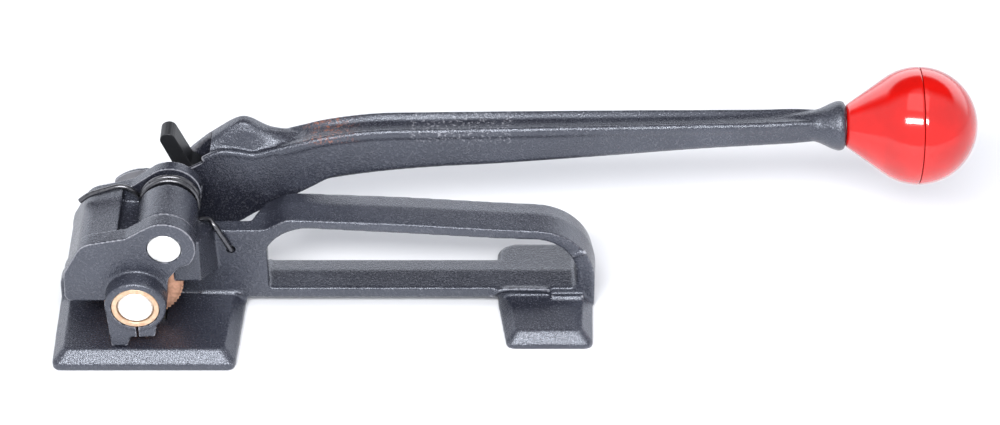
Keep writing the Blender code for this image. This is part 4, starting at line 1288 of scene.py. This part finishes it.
class TENSIONER_OT_small_parts(bpy.types.Operator):
    """Turn the hinge pin, bushes, washers and spacer."""

    bl_idname = "tensioner.small_parts"
    bl_label = "Pins and bushes"

    def execute(self, context):
        near, far = span_y("hinge_pin")
        pin = sleeve(PIN_R, 0.0, HINGE, (near, far), 0.6, "hinge_pin_turned")
        dressed(pin, "bright_steel", "housing", "hinge_pin")
        for node, body, outer, slot in (
            ("near_bush", "housing", BUSH_R, "bronze"),
            ("far_bush", "housing", BUSH_R, "bronze"),
            ("thrust_washer", "housing", WASHER_R, "bright_steel"),
            ("shaft_spacer", "feed", SPACER_R, "bright_steel"),
            ("shaft_washer", "feed", SHAFT_WASHER_R, "bright_steel"),
        ):
            made = sleeve(outer, SHAFT_R + GAP, SHAFT, span_y(node), 0.35, f"{node}_turned")
            dressed(made, slot, body, node)
        return {"FINISHED"}


def gathered(name, *parts):
    """One object from several finished bodies."""
    bm = bmesh.new()
    for part in parts:
        bm.from_mesh(part.data)
        bpy.data.objects.remove(part, do_unlink=True)
    return from_bmesh(name, bm)


class TENSIONER_OT_wheels(bpy.types.Operator):
    """Cut the teeth of the feed wheel and the ratchet."""

    bl_idname = "tensioner.wheels"
    bl_label = "Toothed pieces"

    def execute(self, context):
        copper = finish("copper_plate")
        axle = (SHAFT_X, 0.0, SHAFT_Z)
        near, far = span_y("feed_wheel")
        flank = [(FEED_ROOT, -0.98), (FEED_FLANK, -0.98), (FEED_R, -0.12)]
        flank += [(FEED_R, 0.12), (FEED_FLANK, 0.98), (FEED_ROOT, 0.98)]
        tooth = prism([flank], (near, far))
        teeth = repeated(tooth, FEED_TEETH, copper, axle, turn=math.tau / FEED_TEETH)
        rim = sleeve(FEED_RIM, SHAFT_R + GAP, SHAFT, (near, far), 0.4)
        wheel = gathered("feed_wheel_cut", rim, teeth)
        dressed(wheel, "copper_plate", "feed", "feed_wheel", smooth=25.0)

        steel = finish("tool_steel")
        near, far = span_y("ratchet_wheel")
        heel = math.tau / RATCHET_TEETH - math.radians(0.4)
        tip = 0.021
        hook = [
            (RATCHET_FOOT, -0.1),
            (RATCHET_R, 0.0),
            (RATCHET_R * math.cos(tip), -RATCHET_R * math.sin(tip)),
            (RATCHET_ROOT * math.cos(heel), -RATCHET_ROOT * math.sin(heel)),
            (RATCHET_FOOT * math.cos(heel), -RATCHET_FOOT * math.sin(heel)),
        ]
        tooth = prism([hook], (near, far))
        tooth.data.transform(Matrix.Rotation(DRIVE_TOOTH, 4, "Y"))
        teeth = repeated(tooth, RATCHET_TEETH, steel, axle, turn=math.tau / RATCHET_TEETH)
        body = sleeve(RATCHET_ROOT + 0.05, SHAFT_R + GAP, SHAFT, (near, far), 0.2)
        wheel = gathered("ratchet_cut", body, teeth)
        dressed(wheel, "tool_steel", "feed", "ratchet_wheel", smooth=25.0)
        return {"FINISHED"}


class TENSIONER_OT_kept_nodes(bpy.types.Operator):
    """Give the CAD pieces that stay their finishes."""

    bl_idname = "tensioner.kept_nodes"
    bl_label = "Kept pieces"

    def execute(self, context):
        for name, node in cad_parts.items():
            if node.hide_render:
                continue
            wanted = node.data.materials[0].name.split(".")[0]
            if wanted not in FINISHES:
                raise RuntimeError(f"{name} has no finish")
            node.data.materials.clear()
            node.data.materials.append(finish(wanted))
        return {"FINISHED"}


class TENSIONER_OT_stage(bpy.types.Operator):
    """Set the pale floor, the soft lights and the camera."""

    bl_idname = "tensioner.stage"
    bl_label = "Stage"

    def execute(self, context):
        scene = context.scene
        scene.view_settings.view_transform = "Standard"
        bm = bmesh.new()
        bmesh.ops.create_grid(bm, x_segments=1, y_segments=1, size=4.0)
        floor = from_bmesh("floor", bm)
        table = Finish("table_paper", (0.86, 0.87, 0.90))
        sheen = table.noise(60.0, 3.0)
        tint = table.blend(sheen, (0.85, 0.86, 0.89), (0.88, 0.885, 0.905))
        floor.data.materials.append(table.use(Base_Color=tint, Roughness=0.5 + sheen * 0.1))

        world = bpy.data.worlds.new("studio")
        world.use_nodes = True
        scene.world = world
        sky = world.node_tree.nodes["Background"]
        sky.inputs["Color"].default_value = (0.93, 0.95, 1.0, 1.0)
        graph = Graph(world.node_tree)
        way = graph.node("ShaderNodeTexCoord").outputs["Generated"]
        split = graph.node("ShaderNodeSeparateXYZ", None, way)
        across, up = graph.number(split, "Y"), graph.number(split, "Z")
        dark_band = up.between(0.45, 0.55) * (1.0 - up.between(0.88, 0.97))
        shade = across.between(0.05, 0.40) * dark_band
        glow = across.between(0.20, 0.60) * (1.0 - up.between(0.42, 0.50))
        graph.feed(sky.inputs["Strength"], 0.84 - shade * 0.80 + glow * 1.5)

        self.light("key", (0.03, -0.95, 1.08), 1.0, 0.24, 22.0)
        self.light("overhead", (0.10, -0.20, 2.2), 1.4, 1.4, 6.0)

        lens = bpy.data.cameras.new("camera")
        lens.lens = CAMERA_LENS
        lens.sensor_width = CAMERA_SENSOR
        camera = linked("camera", lens)
        aim = Vector(CAMERA_AIM)
        lift = math.radians(CAMERA_LIFT)
        back = Vector((0.0, -math.cos(lift), math.sin(lift)))
        camera.location = aim + back * CAMERA_DISTANCE
        camera.rotation_mode = "QUATERNION"
        camera.rotation_quaternion = (-back).to_track_quat("-Z", "Y")
        scene.camera = camera
        return {"FINISHED"}

    def light(self, name, place, width, height, power):
        """A large light that faces the tool."""
        data = bpy.data.lights.new(name, "AREA")
        data.shape = "RECTANGLE"
        data.size = width
        data.size_y = height
        data.energy = power
        made = linked(name, data)
        made.location = place
        way = Vector(LIGHT_AIM) - made.location
        made.rotation_mode = "QUATERNION"
        made.rotation_quaternion = way.to_track_quat("-Z", "Y")


OPERATORS = (
    TENSIONER_OT_base,
    TENSIONER_OT_housing,
    TENSIONER_OT_lever,
    TENSIONER_OT_knob,
    TENSIONER_OT_springs,
    TENSIONER_OT_small_parts,
    TENSIONER_OT_wheels,
    TENSIONER_OT_kept_nodes,
    TENSIONER_OT_stage,
)


class TENSIONER_PT_panel(bpy.types.Panel):
    """The sidebar panel that lists the pieces."""

    bl_idname = "TENSIONER_PT_panel"
    bl_label = "Strapping Tensioner"
    bl_space_type = "VIEW_3D"
    bl_region_type = "UI"
    bl_category = "Tensioner"

    def draw(self, context):
        for group in (context.scene.tensioner_sizes, context.scene.tensioner_finish):
            for name in group.__annotations__:
                self.layout.prop(group, name)
        for operator in OPERATORS:
            self.layout.operator(operator.bl_idname)


CLASSES = (TensionerFinish, TensionerSizes, *OPERATORS, TENSIONER_PT_panel)


def register():
    """Add the classes and their settings to Blender."""
    for item in CLASSES:
        bpy.utils.register_class(item)
    bpy.types.Scene.tensioner_finish = bpy.props.PointerProperty(type=TensionerFinish)
    bpy.types.Scene.tensioner_sizes = bpy.props.PointerProperty(type=TensionerSizes)


def unregister():
    """Take them out again."""
    del bpy.types.Scene.tensioner_finish
    del bpy.types.Scene.tensioner_sizes
    for item in reversed(CLASSES):
        bpy.utils.unregister_class(item)


def main():
    """Build every piece in order."""
    register()
    for operator in OPERATORS:
        group, name = operator.bl_idname.split(".")
        getattr(getattr(bpy.ops, group), name)()
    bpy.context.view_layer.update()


if __name__ == "__main__":
    main()
